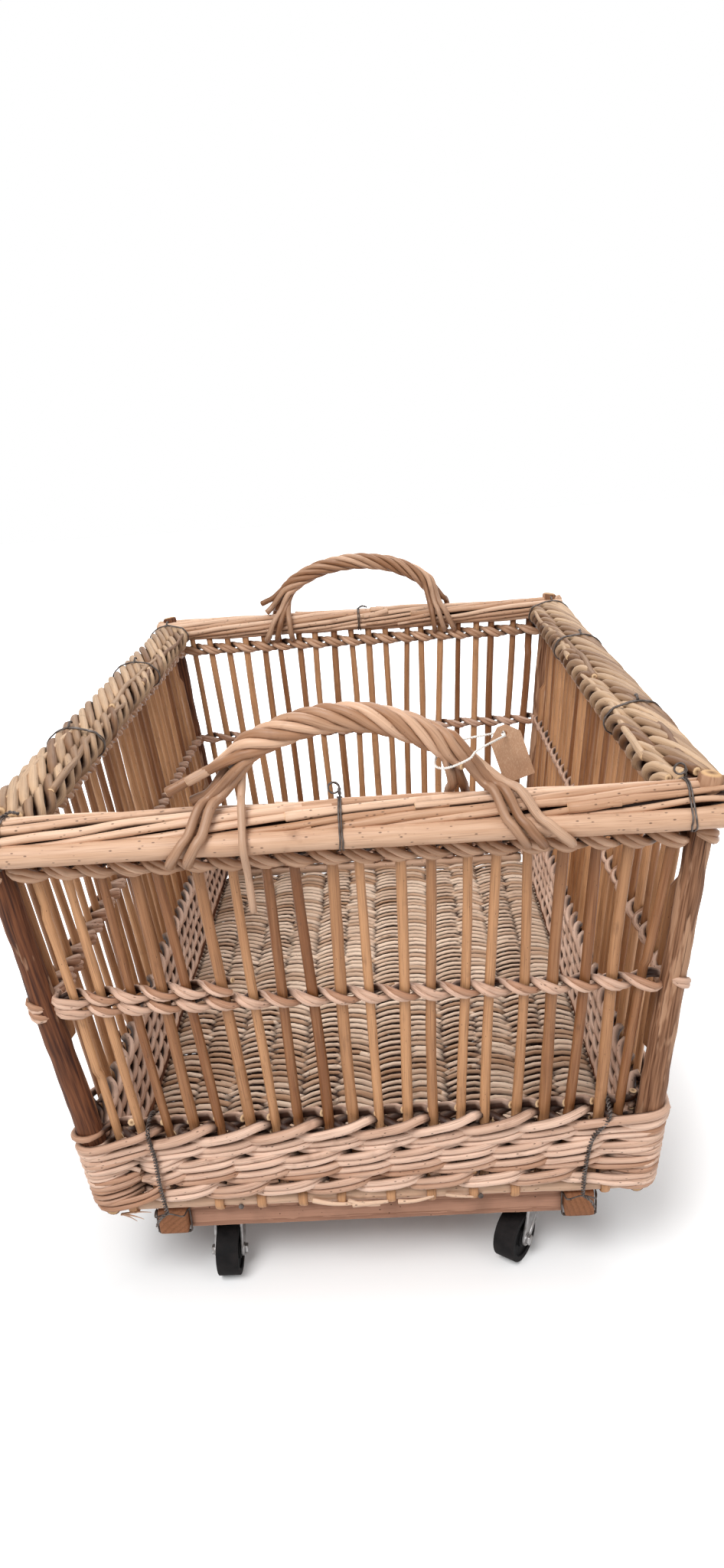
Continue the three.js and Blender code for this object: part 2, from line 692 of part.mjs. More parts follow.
function addCaster(name, corner) {
  const base = new THREE.Group();
  base.position.set(corner.x * CASTER_X, corner.y * CASTER_Y, 0);
  const swivel = new THREE.Group();
  swivel.rotation.z = THREE.MathUtils.degToRad(CASTER_ANGLES[name]);
  base.add(swivel);
  group.add(base);
  add(`caster_plate_${name}`, mountPlate(), ZINC, base);
  add(`caster_fork_${name}`, fork(), ZINC, swivel);
  add(`caster_bolt_${name}`, axleBolt(), ZINC, swivel);
  add(`caster_wheel_${name}`, wheel(), BLACK_RUBBER, swivel);
}

// Rim outlines as pairs: distance out from the middle of the rod bundle or side rim, and height
function bundleOutline() {
  const count = BUNDLE_RODS * 3;
  return Array.from({ length: count }, (_, k) => {
    const angle = (2 * Math.PI * k) / count;
    const dip = k % 3 === 0 ? BUNDLE_RELIEF : 0;
    const out = (BUNDLE_DEPTH / 2 - dip) * Math.cos(angle);
    return [out, BUNDLE_Z + (BUNDLE_HEIGHT / 2 - dip) * Math.sin(angle)];
  });
}

function sideRimOutline() {
  const soften = (v) => Math.sign(v) * Math.abs(v) ** SIDE_RIM_SQUARENESS;
  return Array.from({ length: SIDE_RIM_POINTS }, (_, k) => {
    const angle = (2 * Math.PI * k) / SIDE_RIM_POINTS;
    const out = (SIDE_RIM_WIDTH / 2) * soften(Math.cos(angle));
    return [out, SIDE_RIM_Z + (SIDE_RIM_HEIGHT / 2) * soften(Math.sin(angle))];
  });
}

const STICK_OUT = RIM_STICK_Y - BUNDLE_Y;

function stickOutline() {
  return Array.from({ length: STICK_SIDES }, (_, k) => {
    const angle = (2 * Math.PI * k) / STICK_SIDES;
    const out = STICK_OUT + RIM_STICK_RADIUS * Math.cos(angle);
    return [out, RIM_STICK_Z + RIM_STICK_RADIUS * Math.sin(angle)];
  });
}

// A point on a rim, from the distance along it, the distance out from its middle and the height
function rimPoint(wall, along, out, z) {
  if (wall.across) return new THREE.Vector3(along, wall.sign * (BUNDLE_Y + out), z);
  return new THREE.Vector3(wall.sign * (SIDE_RIM_X + out), along, z);
}

function rimSolid(wall, outline, halfSpan) {
  const ring = (along) => outline.map(([out, z]) => rimPoint(wall, along, out, z));
  return toSolid(loft([ring(-halfSpan), ring(halfSpan)]));
}

function addRim() {
  const sideSpan = BUNDLE_Y - BUNDLE_DEPTH / 2 - TIE_WIRE - 4 * GAP;
  for (const [name, wall] of Object.entries(WALLS)) {
    if (!wall.across) {
      add(`rim_${name}`, rimSolid(wall, sideRimOutline(), sideSpan), PEELED);
      continue;
    }
    const reach = RIM_WIDTH / 2;
    const from = new THREE.Vector3(-reach, wall.sign * RIM_STICK_Y, RIM_STICK_Z);
    const to = new THREE.Vector3(reach, wall.sign * RIM_STICK_Y, RIM_STICK_Z);
    const seat = toSolid(stick(from, to, RIM_STICK_RADIUS + 2 * GAP));
    const bundle = rimSolid(wall, bundleOutline(), reach - BUNDLE_END_INSET);
    add(`rim_${name}`, cut(bundle, [seat, ...postHoles()]), PEELED);
    add(`rim_stick_${name}`, stick(from, to, RIM_STICK_RADIUS), PEELED);
  }
}

// A wire drawn round an outline: straight runs that each just clear it, meeting at corners
function wireLoop(outline, toPoint, normal, clearance) {
  const runs = Array.from({ length: TIE_RUNS }, (_, k) => {
    const angle = (2 * Math.PI * k) / TIE_RUNS;
    const [dx, dz] = [Math.cos(angle), Math.sin(angle)];
    return [dx, dz, clearance + Math.max(...outline.map(([x, z]) => x * dx + z * dz))];
  });
  const points = runs.map(([ax, az, a], k) => {
    const [bx, bz, b] = runs[(k + 1) % TIE_RUNS];
    const turn = ax * bz - az * bx;
    return toPoint((a * bz - b * az) / turn, (ax * b - bx * a) / turn);
  });
  return toSolid(sweep(points, roundSection(TIE_WIRE / 2, 4), { closed: true, binormal: normal }));
}

// Where each rim is tied with wire: which gap between stakes, counted from the middle
const RIM_TIES = {
  front: { left: -10, middle: 0, right: 10 },
  back: { middle: 0 },
  left: { fore: -6, mid: 5, aft: 14 },
  right: { fore: -7, mid: 5, aft: 14 },
};
const EYED_TIES = ["middle", "right"];

function addRimTies() {
  for (const [side, places] of Object.entries(RIM_TIES)) {
    const wall = WALLS[side];
    const z = TOP_FITCH_TOP;
    const bay = (2 * (wall.across ? halfWidth(z) : halfLength(z))) / (wall.stakes + 1);
    const outline = wall.across ? [...bundleOutline(), ...stickOutline()] : sideRimOutline();
    const normal = wall.across ? new THREE.Vector3(1, 0, 0) : new THREE.Vector3(0, 1, 0);
    for (const [place, count] of Object.entries(places)) {
      const toPoint = (out, height) => rimPoint(wall, count * bay, out, height);
      let wire = wireLoop(outline, toPoint, normal, TIE_WIRE / 2 + GAP);
      if (EYED_TIES.includes(place) && side === "front") wire = join([wire, tieEye(wall, count * bay)]);
      add(`tie_${side}_${place}`, wire, IRON);
    }
  }
}

// The twisted eye on top of a tie, standing beside the wire
function tieEye(wall, along) {
  const wire = TIE_WIRE / 2;
  const lift = RIM_TOP + GAP + TIE_WIRE;
  const points = Array.from({ length: EYE_POINTS }, (_, k) => {
    const angle = (2 * Math.PI * k) / EYE_POINTS;
    const across = along - EYE_RADIUS * (1 + Math.cos(angle));
    return rimPoint(wall, across, 0, lift + EYE_RADIUS * (1 + Math.sin(angle)));
  });
  const normal = new THREE.Vector3(0, 1, 0);
  const eye = toSolid(sweep(points, roundSection(wire, 4), { closed: true, binormal: normal }));
  const foot = rimPoint(wall, along, 0, RIM_TOP + GAP);
  const stem = stick(foot, rimPoint(wall, along, 0, lift + EYE_RADIUS), wire, 4);
  return join([eye, toSolid(stem)]);
}

// Wire that ties the woven wall down to a rail end
function frameTie(corner) {
  const wire = TIE_WIRE / 2;
  const clear = wire + GAP;
  const bay = (2 * halfWidth(BAND_TOP)) / (END_STAKES + 1);
  const hookX = Math.round(RAIL_X / bay) * bay;
  const face = (z) => halfLength(z) + BAND_HALF_THICKNESS + WALE_EXTRA + clear;
  const at = (x, y, z) => new THREE.Vector3(corner.x * x, corner.y * y, z);
  const split = BAND_BOTTOM + WALE_HEIGHT;
  const hook = [
    at(hookX, halfLength(BAND_TOP) - clear, BAND_TOP + clear),
    at(hookX, face(BAND_TOP) - clear, BAND_TOP + clear),
    at(hookX, face(BAND_TOP) + clear / 2, BAND_TOP - clear),
    at(hookX, face(BAND_TOP - WALE_HEIGHT) + clear / 2, BAND_TOP - WALE_HEIGHT),
    at(RAIL_X, face(split), split),
  ];
  const railSide = RAIL_WIDTH / 2 + clear;
  const railFoot = RAIL_TOP - RAIL_HEIGHT - clear;
  const stickY = halfLength(BASE_STICK_Z);
  const stickFront = stickY + BASE_STICK_DIAMETER / 2 + 2 * clear;
  const under = BASE_STICK_Z - BASE_STICK_DIAMETER / 2 - 2 * clear;
  const ringY = RAIL_LENGTH / 2 - BOARD_SETBACK / 2;
  const legPoints = (side) => [
    at(RAIL_X + side * railSide * 0.7, stickFront, BASE_STICK_Z + TIE_WIRE),
    at(RAIL_X + side * railSide, stickFront - TIE_WIRE, under + 2 * TIE_WIRE),
    at(RAIL_X + side * railSide, stickY + 2 * TIE_WIRE, under),
    at(RAIL_X + side * railSide, ringY, under - 4 * TIE_WIRE),
    at(RAIL_X + side * railSide, ringY, railFoot),
  ];
  const loop = [at(RAIL_X, face(split), split), ...legPoints(1), ...legPoints(-1).reverse()];
  const ring = toSolid(sweep(loop, roundSection(wire, 4), { closed: true, binormal: null }));
  return join([toSolid(sweep(hook, roundSection(wire, 4))), ring]);
}

// Handle: a rope-twisted arch whose strands part at each foot and wrap the rim
function handle(wall) {
  const half = HANDLE_SPAN / 2;
  const crown = HANDLE_RISE - ROPE_DIAMETER / 2;
  const archPoint = (angle) => rimPoint(wall, -half * Math.cos(angle), 0, RIM_TOP + crown * Math.sin(angle));
  const arch = Array.from({ length: ROPE_STEPS + 1 }, (_, i) => {
    return archPoint(ROPE_START + ((Math.PI - 2 * ROPE_START) * i) / ROPE_STEPS);
  });
  const rope = sweep(arch, ropeSection, { binormal: new THREE.Vector3(0, wall.sign, 0) });
  const foot = archPoint(ROPE_START);
  const solids = [toSolid(rope)];
  for (const end of [-1, 1]) {
    const footX = end * Math.abs(foot.x);
    for (const spread of FRONT_STRAND_SPREAD) {
      solids.push(strand(wall, footX, end * spread, frontWrap(foot.z)));
    }
    for (const spread of BACK_STRAND_SPREAD) {
      solids.push(strand(wall, footX, end * spread, backWrap(foot.z)));
    }
  }
  return join(solids);
}

// Strands lie side by side round the rope, and turn as it runs
function ropeSection(step) {
  const turn = (2 * Math.PI * ROPE_TURNS * step) / ROPE_STEPS;
  const count = ROPE_STRANDS * 2;
  return Array.from({ length: count }, (_, k) => {
    const radius = (ROPE_DIAMETER / 2) * (k % 2 ? ROPE_VALLEY : 1);
    const angle = turn + (2 * Math.PI * k) / count;
    return [radius * Math.cos(angle), radius * Math.sin(angle)];
  });
}

// How a strand lies round the rim stick: degrees from straight out, share of the sideways spread
const STICK_WRAP = [[55, 0.55], [20, 0.7], [-15, 0.85], [-50, 0.95], [-82, 1]];
const RIM_SHOULDER = 0.42 * BUNDLE_DEPTH;

// Each wrap is a list of: share of the sideways spread, distance out, height
function frontWrap(footZ) {
  const around = RIM_STICK_RADIUS + STRAND_RADIUS + 4 * GAP;
  const fitchFace = halfLength(TOP_FITCH_TOP) + FITCH_HALF_THICKNESS - BUNDLE_Y;
  const roundStick = STICK_WRAP.map(([degrees, share]) => {
    const angle = THREE.MathUtils.degToRad(degrees);
    return [share, STICK_OUT + around * Math.cos(angle), RIM_STICK_Z + around * Math.sin(angle)];
  });
  return [
    [0, STRAND_RADIUS, footZ + STRAND_RADIUS],
    [0.25, RIM_SHOULDER, RIM_TOP + 2 * STRAND_RADIUS],
    ...roundStick,
    [1, fitchFace + 2 * GAP, RIM_STICK_Z - around],
  ];
}

function backWrap(footZ) {
  const inner = BUNDLE_DEPTH / 2 + STRAND_RADIUS + 2 * GAP;
  return [
    [0, -STRAND_RADIUS, footZ + STRAND_RADIUS],
    [0.2, -RIM_SHOULDER, RIM_TOP + 2 * STRAND_RADIUS],
    [0.5, -inner, BUNDLE_Z + BUNDLE_HEIGHT / 4],
    [0.8, -inner, BUNDLE_Z - BUNDLE_HEIGHT / 3],
    [1, -inner, TOP_FITCH_TOP - FITCH_HEIGHT / 2],
  ];
}

function strand(wall, footX, spread, wrap) {
  const points = wrap.map(([share, out, z]) => rimPoint(wall, footX + spread * share, out, z));
  return toSolid(sweep(smooth(points, STRAND_STEPS), roundSection(STRAND_RADIUS, STRAND_SIDES)));
}

// Bare paper tag that hangs by a string from the front handle's right leg
function addTag() {
  const behind = -(ROPE_DIAMETER / 2 + 2 * STRAND_RADIUS + GAP);
  const legX = (HANDLE_SPAN / 2) * Math.cos(ROPE_START);
  const crown = HANDLE_RISE - ROPE_DIAMETER / 2;
  const hole = rimPoint(WALLS.front, legX + TAG_OFFSET, behind, RIM_TOP + TAG_HOLE_HEIGHT);
  const shape = new THREE.Shape();
  const shoulder = TAG_WIDTH / 4;
  shape.moveTo(-TAG_WIDTH / 2, -TAG_HEIGHT + shoulder);
  shape.lineTo(TAG_WIDTH / 2, -TAG_HEIGHT + shoulder);
  shape.lineTo(TAG_WIDTH / 2, -shoulder / 2);
  shape.absarc(0, 0, shoulder, 0, Math.PI, false);
  shape.lineTo(-TAG_WIDTH / 2, -shoulder / 2);
  shape.closePath();
  const eyelet = new THREE.Path();
  eyelet.absarc(0, 0, TAG_HOLE_RADIUS, 0, 2 * Math.PI, true);
  shape.holes.push(eyelet);
  const depth = { depth: TAG_THICKNESS, bevelEnabled: false, curveSegments: 6 };
  const paper = new THREE.ExtrudeGeometry(shape, depth);
  paper.rotateX(Math.PI / 2).rotateY(TAG_TILT).translate(hole.x, hole.y, hole.z);
  add("tag", paper, PAPER);

  add("tag_string", stringLoop(hole, crown), STRING);
}

// The string runs through the tag's hole and round the handle's leg, sagging away from the hole
function stringLoop(hole, crown) {
  const drop = STRING_SAG / 2;
  const legAngle = Math.asin((hole.z - drop - RIM_TOP) / crown);
  const leg = rimPoint(WALLS.front, (HANDLE_SPAN / 2) * Math.cos(legAngle), 0, hole.z - drop);
  const reach = ROPE_DIAMETER / 2 + STRING_DIAMETER / 2 - 2 * GAP;
  const round = [
    [1, -0.3, 0.27],
    [0.4, -1, 0.53],
    [-0.8, -1, 0.93],
    [-1.5, -0.3, 1],
    [-1.2, 0.7, 0.6],
    [0, 1.4, 0.2],
  ].map(([x, y, sag]) => [leg.x + reach * x, leg.y + reach * y, hole.z - STRING_SAG * sag]);
  const through = 2 * STRING_DIAMETER;
  const loop = [
    [hole.x, hole.y - through, hole.z - TAG_THICKNESS],
    ...round,
    [hole.x - through, hole.y + through, hole.z],
  ].map(([x, y, z]) => new THREE.Vector3(x, y, z));
  const curve = new THREE.CatmullRomCurve3(loop, true, "centripetal");
  const points = curve.getSpacedPoints(STRING_STEPS).slice(0, -1);
  return sweep(points, roundSection(STRING_DIAMETER / 2, 4), { closed: true });
}

addFrame();
for (const [name, corner] of Object.entries(CORNERS)) addCaster(name, corner);
addBase();
addWalls();
addRim();
addRimTies();
for (const [name, corner] of Object.entries(CORNERS)) add(`frame_tie_${name}`, frameTie(corner), IRON);
add("handle_front", handle(WALLS.front), PEELED);
add("handle_back", handle(WALLS.back), PEELED);
addTag();

export default group;
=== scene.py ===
"""Dresses the wicker laundry basket: woven willow, timber frame, casters, wire ties, tag and studio."""

import json
import logging
import math
from dataclasses import dataclass, field
from enum import Enum
from typing import Callable, Sequence

import bpy
import numpy as np
from mathutils import Matrix, Vector

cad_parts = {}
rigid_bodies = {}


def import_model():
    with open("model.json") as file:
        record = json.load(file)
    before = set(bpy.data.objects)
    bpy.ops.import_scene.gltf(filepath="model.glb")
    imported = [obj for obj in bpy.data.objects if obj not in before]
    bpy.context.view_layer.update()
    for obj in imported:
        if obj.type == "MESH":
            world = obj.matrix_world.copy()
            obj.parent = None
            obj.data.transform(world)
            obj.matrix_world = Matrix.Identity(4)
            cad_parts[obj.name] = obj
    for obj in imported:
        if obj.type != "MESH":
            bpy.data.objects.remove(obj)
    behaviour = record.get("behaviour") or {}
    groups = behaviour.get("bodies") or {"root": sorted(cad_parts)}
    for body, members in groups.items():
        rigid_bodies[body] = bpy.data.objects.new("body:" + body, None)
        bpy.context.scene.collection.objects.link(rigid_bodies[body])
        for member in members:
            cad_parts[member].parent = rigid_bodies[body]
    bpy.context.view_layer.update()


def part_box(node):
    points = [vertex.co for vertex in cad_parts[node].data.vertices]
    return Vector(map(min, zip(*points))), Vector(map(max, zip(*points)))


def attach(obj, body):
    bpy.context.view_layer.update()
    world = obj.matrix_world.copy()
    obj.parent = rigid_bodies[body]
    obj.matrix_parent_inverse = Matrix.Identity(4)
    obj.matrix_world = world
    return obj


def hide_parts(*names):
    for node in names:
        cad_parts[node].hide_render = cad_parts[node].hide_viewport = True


Array = np.ndarray
Material = bpy.types.Material
Piece = bpy.types.Object
Socket = bpy.types.NodeSocket

LOG = logging.getLogger("laundry_basket")
MM = 0.001
BODY = "basket"
UP = np.array([0.0, 0.0, 1.0])
FULL_TURN = 2 * math.pi
ENDS = (("front", -1), ("back", 1))
SIDES = (("left", -1), ("right", 1))
WALLS = ("front", "right", "back", "left")
CORNERS = ("front_left", "front_right", "back_left", "back_right")


def linear(red: int, green: int, blue: int) -> tuple[float, float, float, float]:
    """Returns the linear RGBA of a colour given in the usual 0 to 255 steps."""
    def channel(step: int) -> float:
        """Returns one channel in linear light."""
        share = step / 255
        return share / 12.92 if share <= 0.04045 else ((share + 0.055) / 1.055) ** 2.4
    return channel(red), channel(green), channel(blue), 1.0


# Finishes


class Sketch:
    """A node tree, built from small strokes."""

    def __init__(self, owner: Material | bpy.types.World) -> None:
        """Starts on the tree of a material or a world."""
        owner.use_nodes = True
        self.owner = owner
        self.tree = owner.node_tree
        self.shader = self.tree.nodes.get("Principled BSDF")

    def node(self, kind: str, inputs: dict, **settings: object) -> bpy.types.Node:
        """Adds a node.

        Args:
            kind: The node's type, without the word ShaderNode.
            inputs: What each of its inputs gets, an output or a plain value.
            settings: Attributes to set on it.

        Returns:
            The new node.
        """
        made = self.tree.nodes.new(f"ShaderNode{kind}")
        for key, value in settings.items():
            setattr(made, key, value)
        for key, value in inputs.items():
            self.feed(made.inputs[key], value)
        return made

    def feed(self, socket: Socket, value: object) -> None:
        """Links an output to the socket, or sets the socket to a plain value."""
        if isinstance(value, Socket):
            self.tree.links.new(value, socket)
        else:
            socket.default_value = value

    def coordinates(self, source: str) -> Socket:
        """Returns texture coordinates, UV or Object."""
        return self.node("TexCoord", {}).outputs[source]

    def stretched(self, source: str, scale: Sequence[float], shift: Sequence[float] = (0, 0, 0)) -> Socket:
        """Returns texture coordinates in repeats per metre along each axis."""
        inputs = {"Vector": self.coordinates(source), "Scale": scale, "Location": shift}
        return self.node("Mapping", inputs).outputs["Vector"]

    def noise(self, source: str, scale: Sequence[float], detail: float) -> Socket:
        """Returns the factor of a noise texture at that scale along each axis."""
        inputs = {"Vector": self.stretched(source, scale), "Scale": 1.0, "Detail": detail}
        return self.node("TexNoise", inputs).outputs["Fac"]

    def spots(self, source: str, scale: Sequence[float], size: float) -> Socket:
        """Returns a mask of round spots, one in each cell, that take this share of it."""
        cells = self.node("TexVoronoi", {"Vector": self.stretched(source, scale), "Scale": 1.0})
        return self.band(cells.outputs["Distance"], size, size * 0.5)

    def band(self, value: Socket, start: float, end: float) -> Socket:
        """Returns the value mapped from start..end to 0..1 and clamped."""
        inputs = {"Value": value, "From Min": start, "From Max": end}
        return self.node("MapRange", inputs, clamp=True).outputs["Result"]

    def maths(self, operation: str, first: object, second: object = 0.0) -> Socket:
        """Returns the result of a Math node."""
        return self.node("Math", {0: first, 1: second}, operation=operation).outputs[0]

    def plus(self, first: Socket, second: object) -> Socket:
        """Returns a sum."""
        return self.maths("ADD", first, second)

    def less(self, first: Socket, second: object) -> Socket:
        """Returns a difference."""
        return self.maths("SUBTRACT", first, second)

    def times(self, first: Socket, second: object) -> Socket:
        """Returns a product."""
        return self.maths("MULTIPLY", first, second)

    def mix(self, factor: Socket, first: object, second: object) -> Socket:
        """Returns a blend of two colours."""
        return self.node("Mix", {0: factor, 6: first, 7: second}, data_type="RGBA").outputs[2]

    def over(self, colour: Socket, mask: Socket, strength: float, top: object) -> Socket:
        """Returns the colour with another laid over it where the mask shows it."""
        return self.mix(self.times(mask, strength), colour, top)

    def cut_ends(self, colour: Socket, rim: object, heart: object) -> Socket:
        """Puts cut wood on the ends of each rod.

        Args:
            colour: Colour of the rod.
            rim: Colour of its ends near the edge.
            heart: Colour in their middle.

        Returns:
            The colour with its cut ends.
        """
        cut = self.attribute("cut")
        wood = self.mix(self.band(cut, 0.75, 1.0), rim, heart)
        return self.mix(self.band(cut, 0.2, 0.6), colour, wood)

    def attribute(self, name: str) -> Socket:
        """Returns a mesh attribute's value."""
        return self.node("Attribute", {}, attribute_name=name).outputs["Fac"]

    def bump(self, height: Socket, depth: float) -> None:
        """Adds relief of that depth, in metres, to the shader."""
        made = self.node("Bump", {"Distance": depth, "Strength": 1.0, "Height": height})
        self.feed(self.shader.inputs["Normal"], made.outputs["Normal"])

    def finish(self, colour: Socket, roughness: object, metallic: float = 0.0,
               specular: float = 0.5) -> Material:
        """Feeds the shader.

        Args:
            colour: Socket with the colour.
            roughness: Socket or number.
            metallic: Share of metal.
            specular: Level of the gloss.

        Returns:
            The material.
        """
        self.feed(self.shader.inputs["Base Color"], colour)
        self.feed(self.shader.inputs["Roughness"], roughness)
        self.shader.inputs["Metallic"].default_value = metallic
        self.shader.inputs["Specular IOR Level"].default_value = specular
        return self.owner


@dataclass(frozen=True)
class Coat:
    """A finish, whose name is its material's name."""

    name: str

    def draw(self, art: Sketch) -> Material:
        """Draws the node tree and returns its material."""
        raise NotImplementedError


@dataclass(frozen=True)
class Willow(Coat):
    """A willow finish that follows each rod by its UV map and varies from rod to rod.

    Attributes:
        pale: Colour of a fresh peeled rod.
        deep: Colour of an aged or buff rod.
        stain: Colour of streaks and specks.
        streaks: How strong the long streaks are.
        specks: Share of a cell that each speck takes.
        knot: Colour of the specks.
        grime_and_shade: Colour of the painted shade between rods and on the sides they turn away from the
            light.
        cut_rim: Colour of a cut end near its edge.
        cut_heart: Colour in its middle.
    """

    pale: tuple
    deep: tuple
    stain: tuple
    streaks: float = 0.5
    specks: float = 0.1
    roughness: float = 0.5
    knot: tuple = linear(70, 42, 26)
    grime_and_shade: tuple = linear(50, 24, 9)
    cut_rim: tuple = linear(226, 192, 150)
    cut_heart: tuple = linear(112, 74, 46)
    relief: float = 0.25 * MM

    def draw(self, art: Sketch) -> Material:
        """Draws the finish, as Coat says."""
        fibres = art.noise("UV", (1400, 22, 1), 4)
        broad = art.noise("UV", (260, 14, 1), 2)
        patches = art.noise("UV", (42, 42, 1), 3)
        shade = art.plus(art.times(art.band(broad, 0.3, 0.7), 0.35), art.attribute("tint"))
        shade = art.maths("MINIMUM", art.less(shade, 0.15), 1.0)
        colour = art.mix(art.maths("MAXIMUM", shade, 0.0), self.pale, self.deep)
        colour = art.over(colour, art.band(fibres, 0.52, 0.74), self.streaks, self.stain)
        colour = art.over(colour, art.band(patches, 0.62, 0.8), 0.45, self.stain)
        speck = art.spots("UV", (230, 110, 1), self.specks)
        colour = art.over(colour, speck, 0.75, self.knot)
        # Painted shade: the rods' painted shade attribute, a little varied by the broad noise, blends the
        # colour towards the dark shade colour.
        dirt_and_shade = art.plus(art.attribute("gloom"), art.times(broad, 0.25))
        colour = art.mix(art.band(dirt_and_shade, 0.2, 1.1), colour, self.grime_and_shade)
        colour = art.cut_ends(colour, self.cut_rim, self.cut_heart)
        art.bump(art.less(fibres, art.times(speck, 0.6)), self.relief)
        return art.finish(colour, self.roughness, specular=0.35)


@dataclass(frozen=True)
class Bark(Coat):
    """Dull brown bark with long cracks that show pale wood.

    Attributes:
        dark: Colour between the fibres.
        bare: Colour where the bark has flaked away.
        flaked: How much bark is gone, from 0 to 1.
        cut_rim: Colour of a cut end near its edge.
        cut_heart: Colour in its middle.
    """

    brown: tuple
    dark: tuple
    bare: tuple
    flaked: float = 0.3
    crack: tuple = linear(46, 26, 16)
    cut_rim: tuple = linear(206, 166, 122)
    cut_heart: tuple = linear(96, 62, 38)
    relief: float = 0.7 * MM

    def draw(self, art: Sketch) -> Material:
        """Draws the finish, as Coat says."""
        grain = art.noise("UV", (420, 16, 1), 5)
        sheets = art.noise("UV", (90, 14, 1), 3)
        colour = art.mix(art.band(grain, 0.35, 0.62), self.dark, self.brown)
        loose = art.band(sheets, 0.66 - 0.22 * self.flaked, 0.7 - 0.2 * self.flaked)
        colour = art.mix(loose, colour, art.mix(grain, self.bare, self.brown))
        cracks = art.band(art.noise("UV", (700, 9, 1), 2), 0.66, 0.72)
        colour = art.mix(cracks, colour, self.crack)
        colour = art.cut_ends(colour, self.cut_rim, self.cut_heart)
        relief = art.less(art.times(grain, 0.6), cracks)
        art.bump(art.less(relief, art.times(loose, 0.5)), self.relief)
        return art.finish(colour, 0.72, specular=0.25)


@dataclass(frozen=True)
class SawnTimber(Coat):
    """Aged softwood whose growth rings give lines along the faces and arcs on the ends.

    Attributes:
        axis: Which axis the grain runs along, 0 for X and 1 for Y.
        early: Colour of the wide pale rings.
        late: Colour of the narrow dark rings.
        contrast: How strongly the rings show.
        heart: Where the middle of the rings is, off the origin.
    """

    axis: int
    early: tuple
    late: tuple
    contrast: float
    heart: tuple
    # Colour of random dirt patches on the timber; no shade is painted here.
    grime_and_shade: tuple = linear(92, 66, 52)
    nick: tuple = linear(60, 38, 28)
    relief: float = 0.5 * MM

    def drawn_out(self, even: float, along: float) -> list[float]:
        """Turns a scale to the grain.

        Args:
            even: Scale across the grain.
            along: Scale along it.

        Returns:
            The scale for X, Y and Z.
        """
        scale = [even] * 3
        scale[self.axis] = along
        return scale

    def draw(self, art: Sketch) -> Material:
        """Draws the finish, as Coat says."""
        wood = art.stretched("Object", self.drawn_out(1.0, 0.03), self.heart)
        warp = art.noise("Object", self.drawn_out(9.0, 0.27), 2)
        inputs = {"Vector": wood, "Scale": 62.0, "Distortion": 2.2, "Detail": 2.0, "Detail Scale": 12.0}
        rings = art.node("TexWave", inputs, wave_type="RINGS", wave_profile="SAW",
                         rings_direction="XY"[self.axis])
        line = art.times(art.band(rings.outputs["Fac"], 0.45, 0.95), self.contrast)
        fibres = art.noise("Object", self.drawn_out(900.0, 14.0), 3)
        colour = art.mix(line, self.early, self.late)
        colour = art.over(colour, art.band(fibres, 0.4, 0.7), 0.35, self.late)
        # Random dirt patches on the timber, not shade.
        dirt_and_shade = art.noise("Object", (24, 24, 24), 4)
        colour = art.over(colour, art.band(dirt_and_shade, 0.48, 0.75), 0.55, self.grime_and_shade)
        colour = art.over(colour, art.band(warp, 0.5, 0.8), 0.4, self.early)
        nicks = art.spots("Object", (120, 120, 120), 0.1)
        colour = art.mix(nicks, colour, self.nick)
        relief = art.less(art.times(line, -0.5), art.times(fibres, 0.5))
        art.bump(art.less(relief, nicks), self.relief)
        return art.finish(colour, 0.7, specular=0.25)


@dataclass(frozen=True)
class Metal(Coat):
    """Dull metal with stains and fine scratches.

    Attributes:
        grain: Size of the stains, in repeats per metre.
    """

    bright: tuple
    dull: tuple
    roughness: float = 0.42
    metallic: float = 0.85
    grain: float = 90.0
    relief: float = 0.08 * MM

    def draw(self, art: Sketch) -> Material:
        """Draws the finish, as Coat says."""
        stain = art.noise("Object", (self.grain,) * 3, 5)
        scratch = art.noise("Object", (900, 60, 900), 2)
        colour = art.mix(art.band(stain, 0.35, 0.68), self.bright, self.dull)
        rough = art.plus(art.times(stain, 0.3), self.roughness - 0.15)
        art.bump(art.plus(stain, scratch), self.relief)
        return art.finish(colour, rough, self.metallic)


@dataclass(frozen=True)
class Moulding(Coat):
    """Black moulded wheel, scuffed grey on the tread."""

    black: tuple
    scuff: tuple
    relief: float = 0.12 * MM

    def draw(self, art: Sketch) -> Material:
        """Draws the finish, as Coat says."""
        dust = art.noise("Object", (70, 70, 70), 5)
        fine = art.noise("Object", (900, 900, 900), 2)
        worn = art.plus(dust, art.times(art.attribute("tread"), 0.18))
        worn = art.band(worn, 0.5, 0.78)
        colour = art.mix(worn, self.black, self.scuff)
        art.bump(art.plus(fine, dust), self.relief)
        return art.finish(colour, art.plus(art.times(worn, 0.15), 0.7), specular=0.15)


@dataclass(frozen=True)
class Paper(Coat):
    """Kraft paper with fibres and soft creases.

    Attributes:
        shade: Colour of the soft clouds.
    """

    brown: tuple
    fleck: tuple
    shade: tuple = linear(128, 92, 66)
    relief: float = 0.1 * MM

    def draw(self, art: Sketch) -> Material:
        """Draws the finish, as Coat says."""
        fibres = art.noise("Object", (1600, 1600, 500), 4)
        cloud = art.noise("Object", (60, 60, 60), 3)
        colour = art.mix(art.band(fibres, 0.5, 0.72), self.brown, self.fleck)
        colour = art.over(colour, art.band(cloud, 0.5, 0.8), 0.3, self.shade)
        art.bump(art.plus(fibres, cloud), self.relief)
        return art.finish(colour, 0.85, specular=0.2)


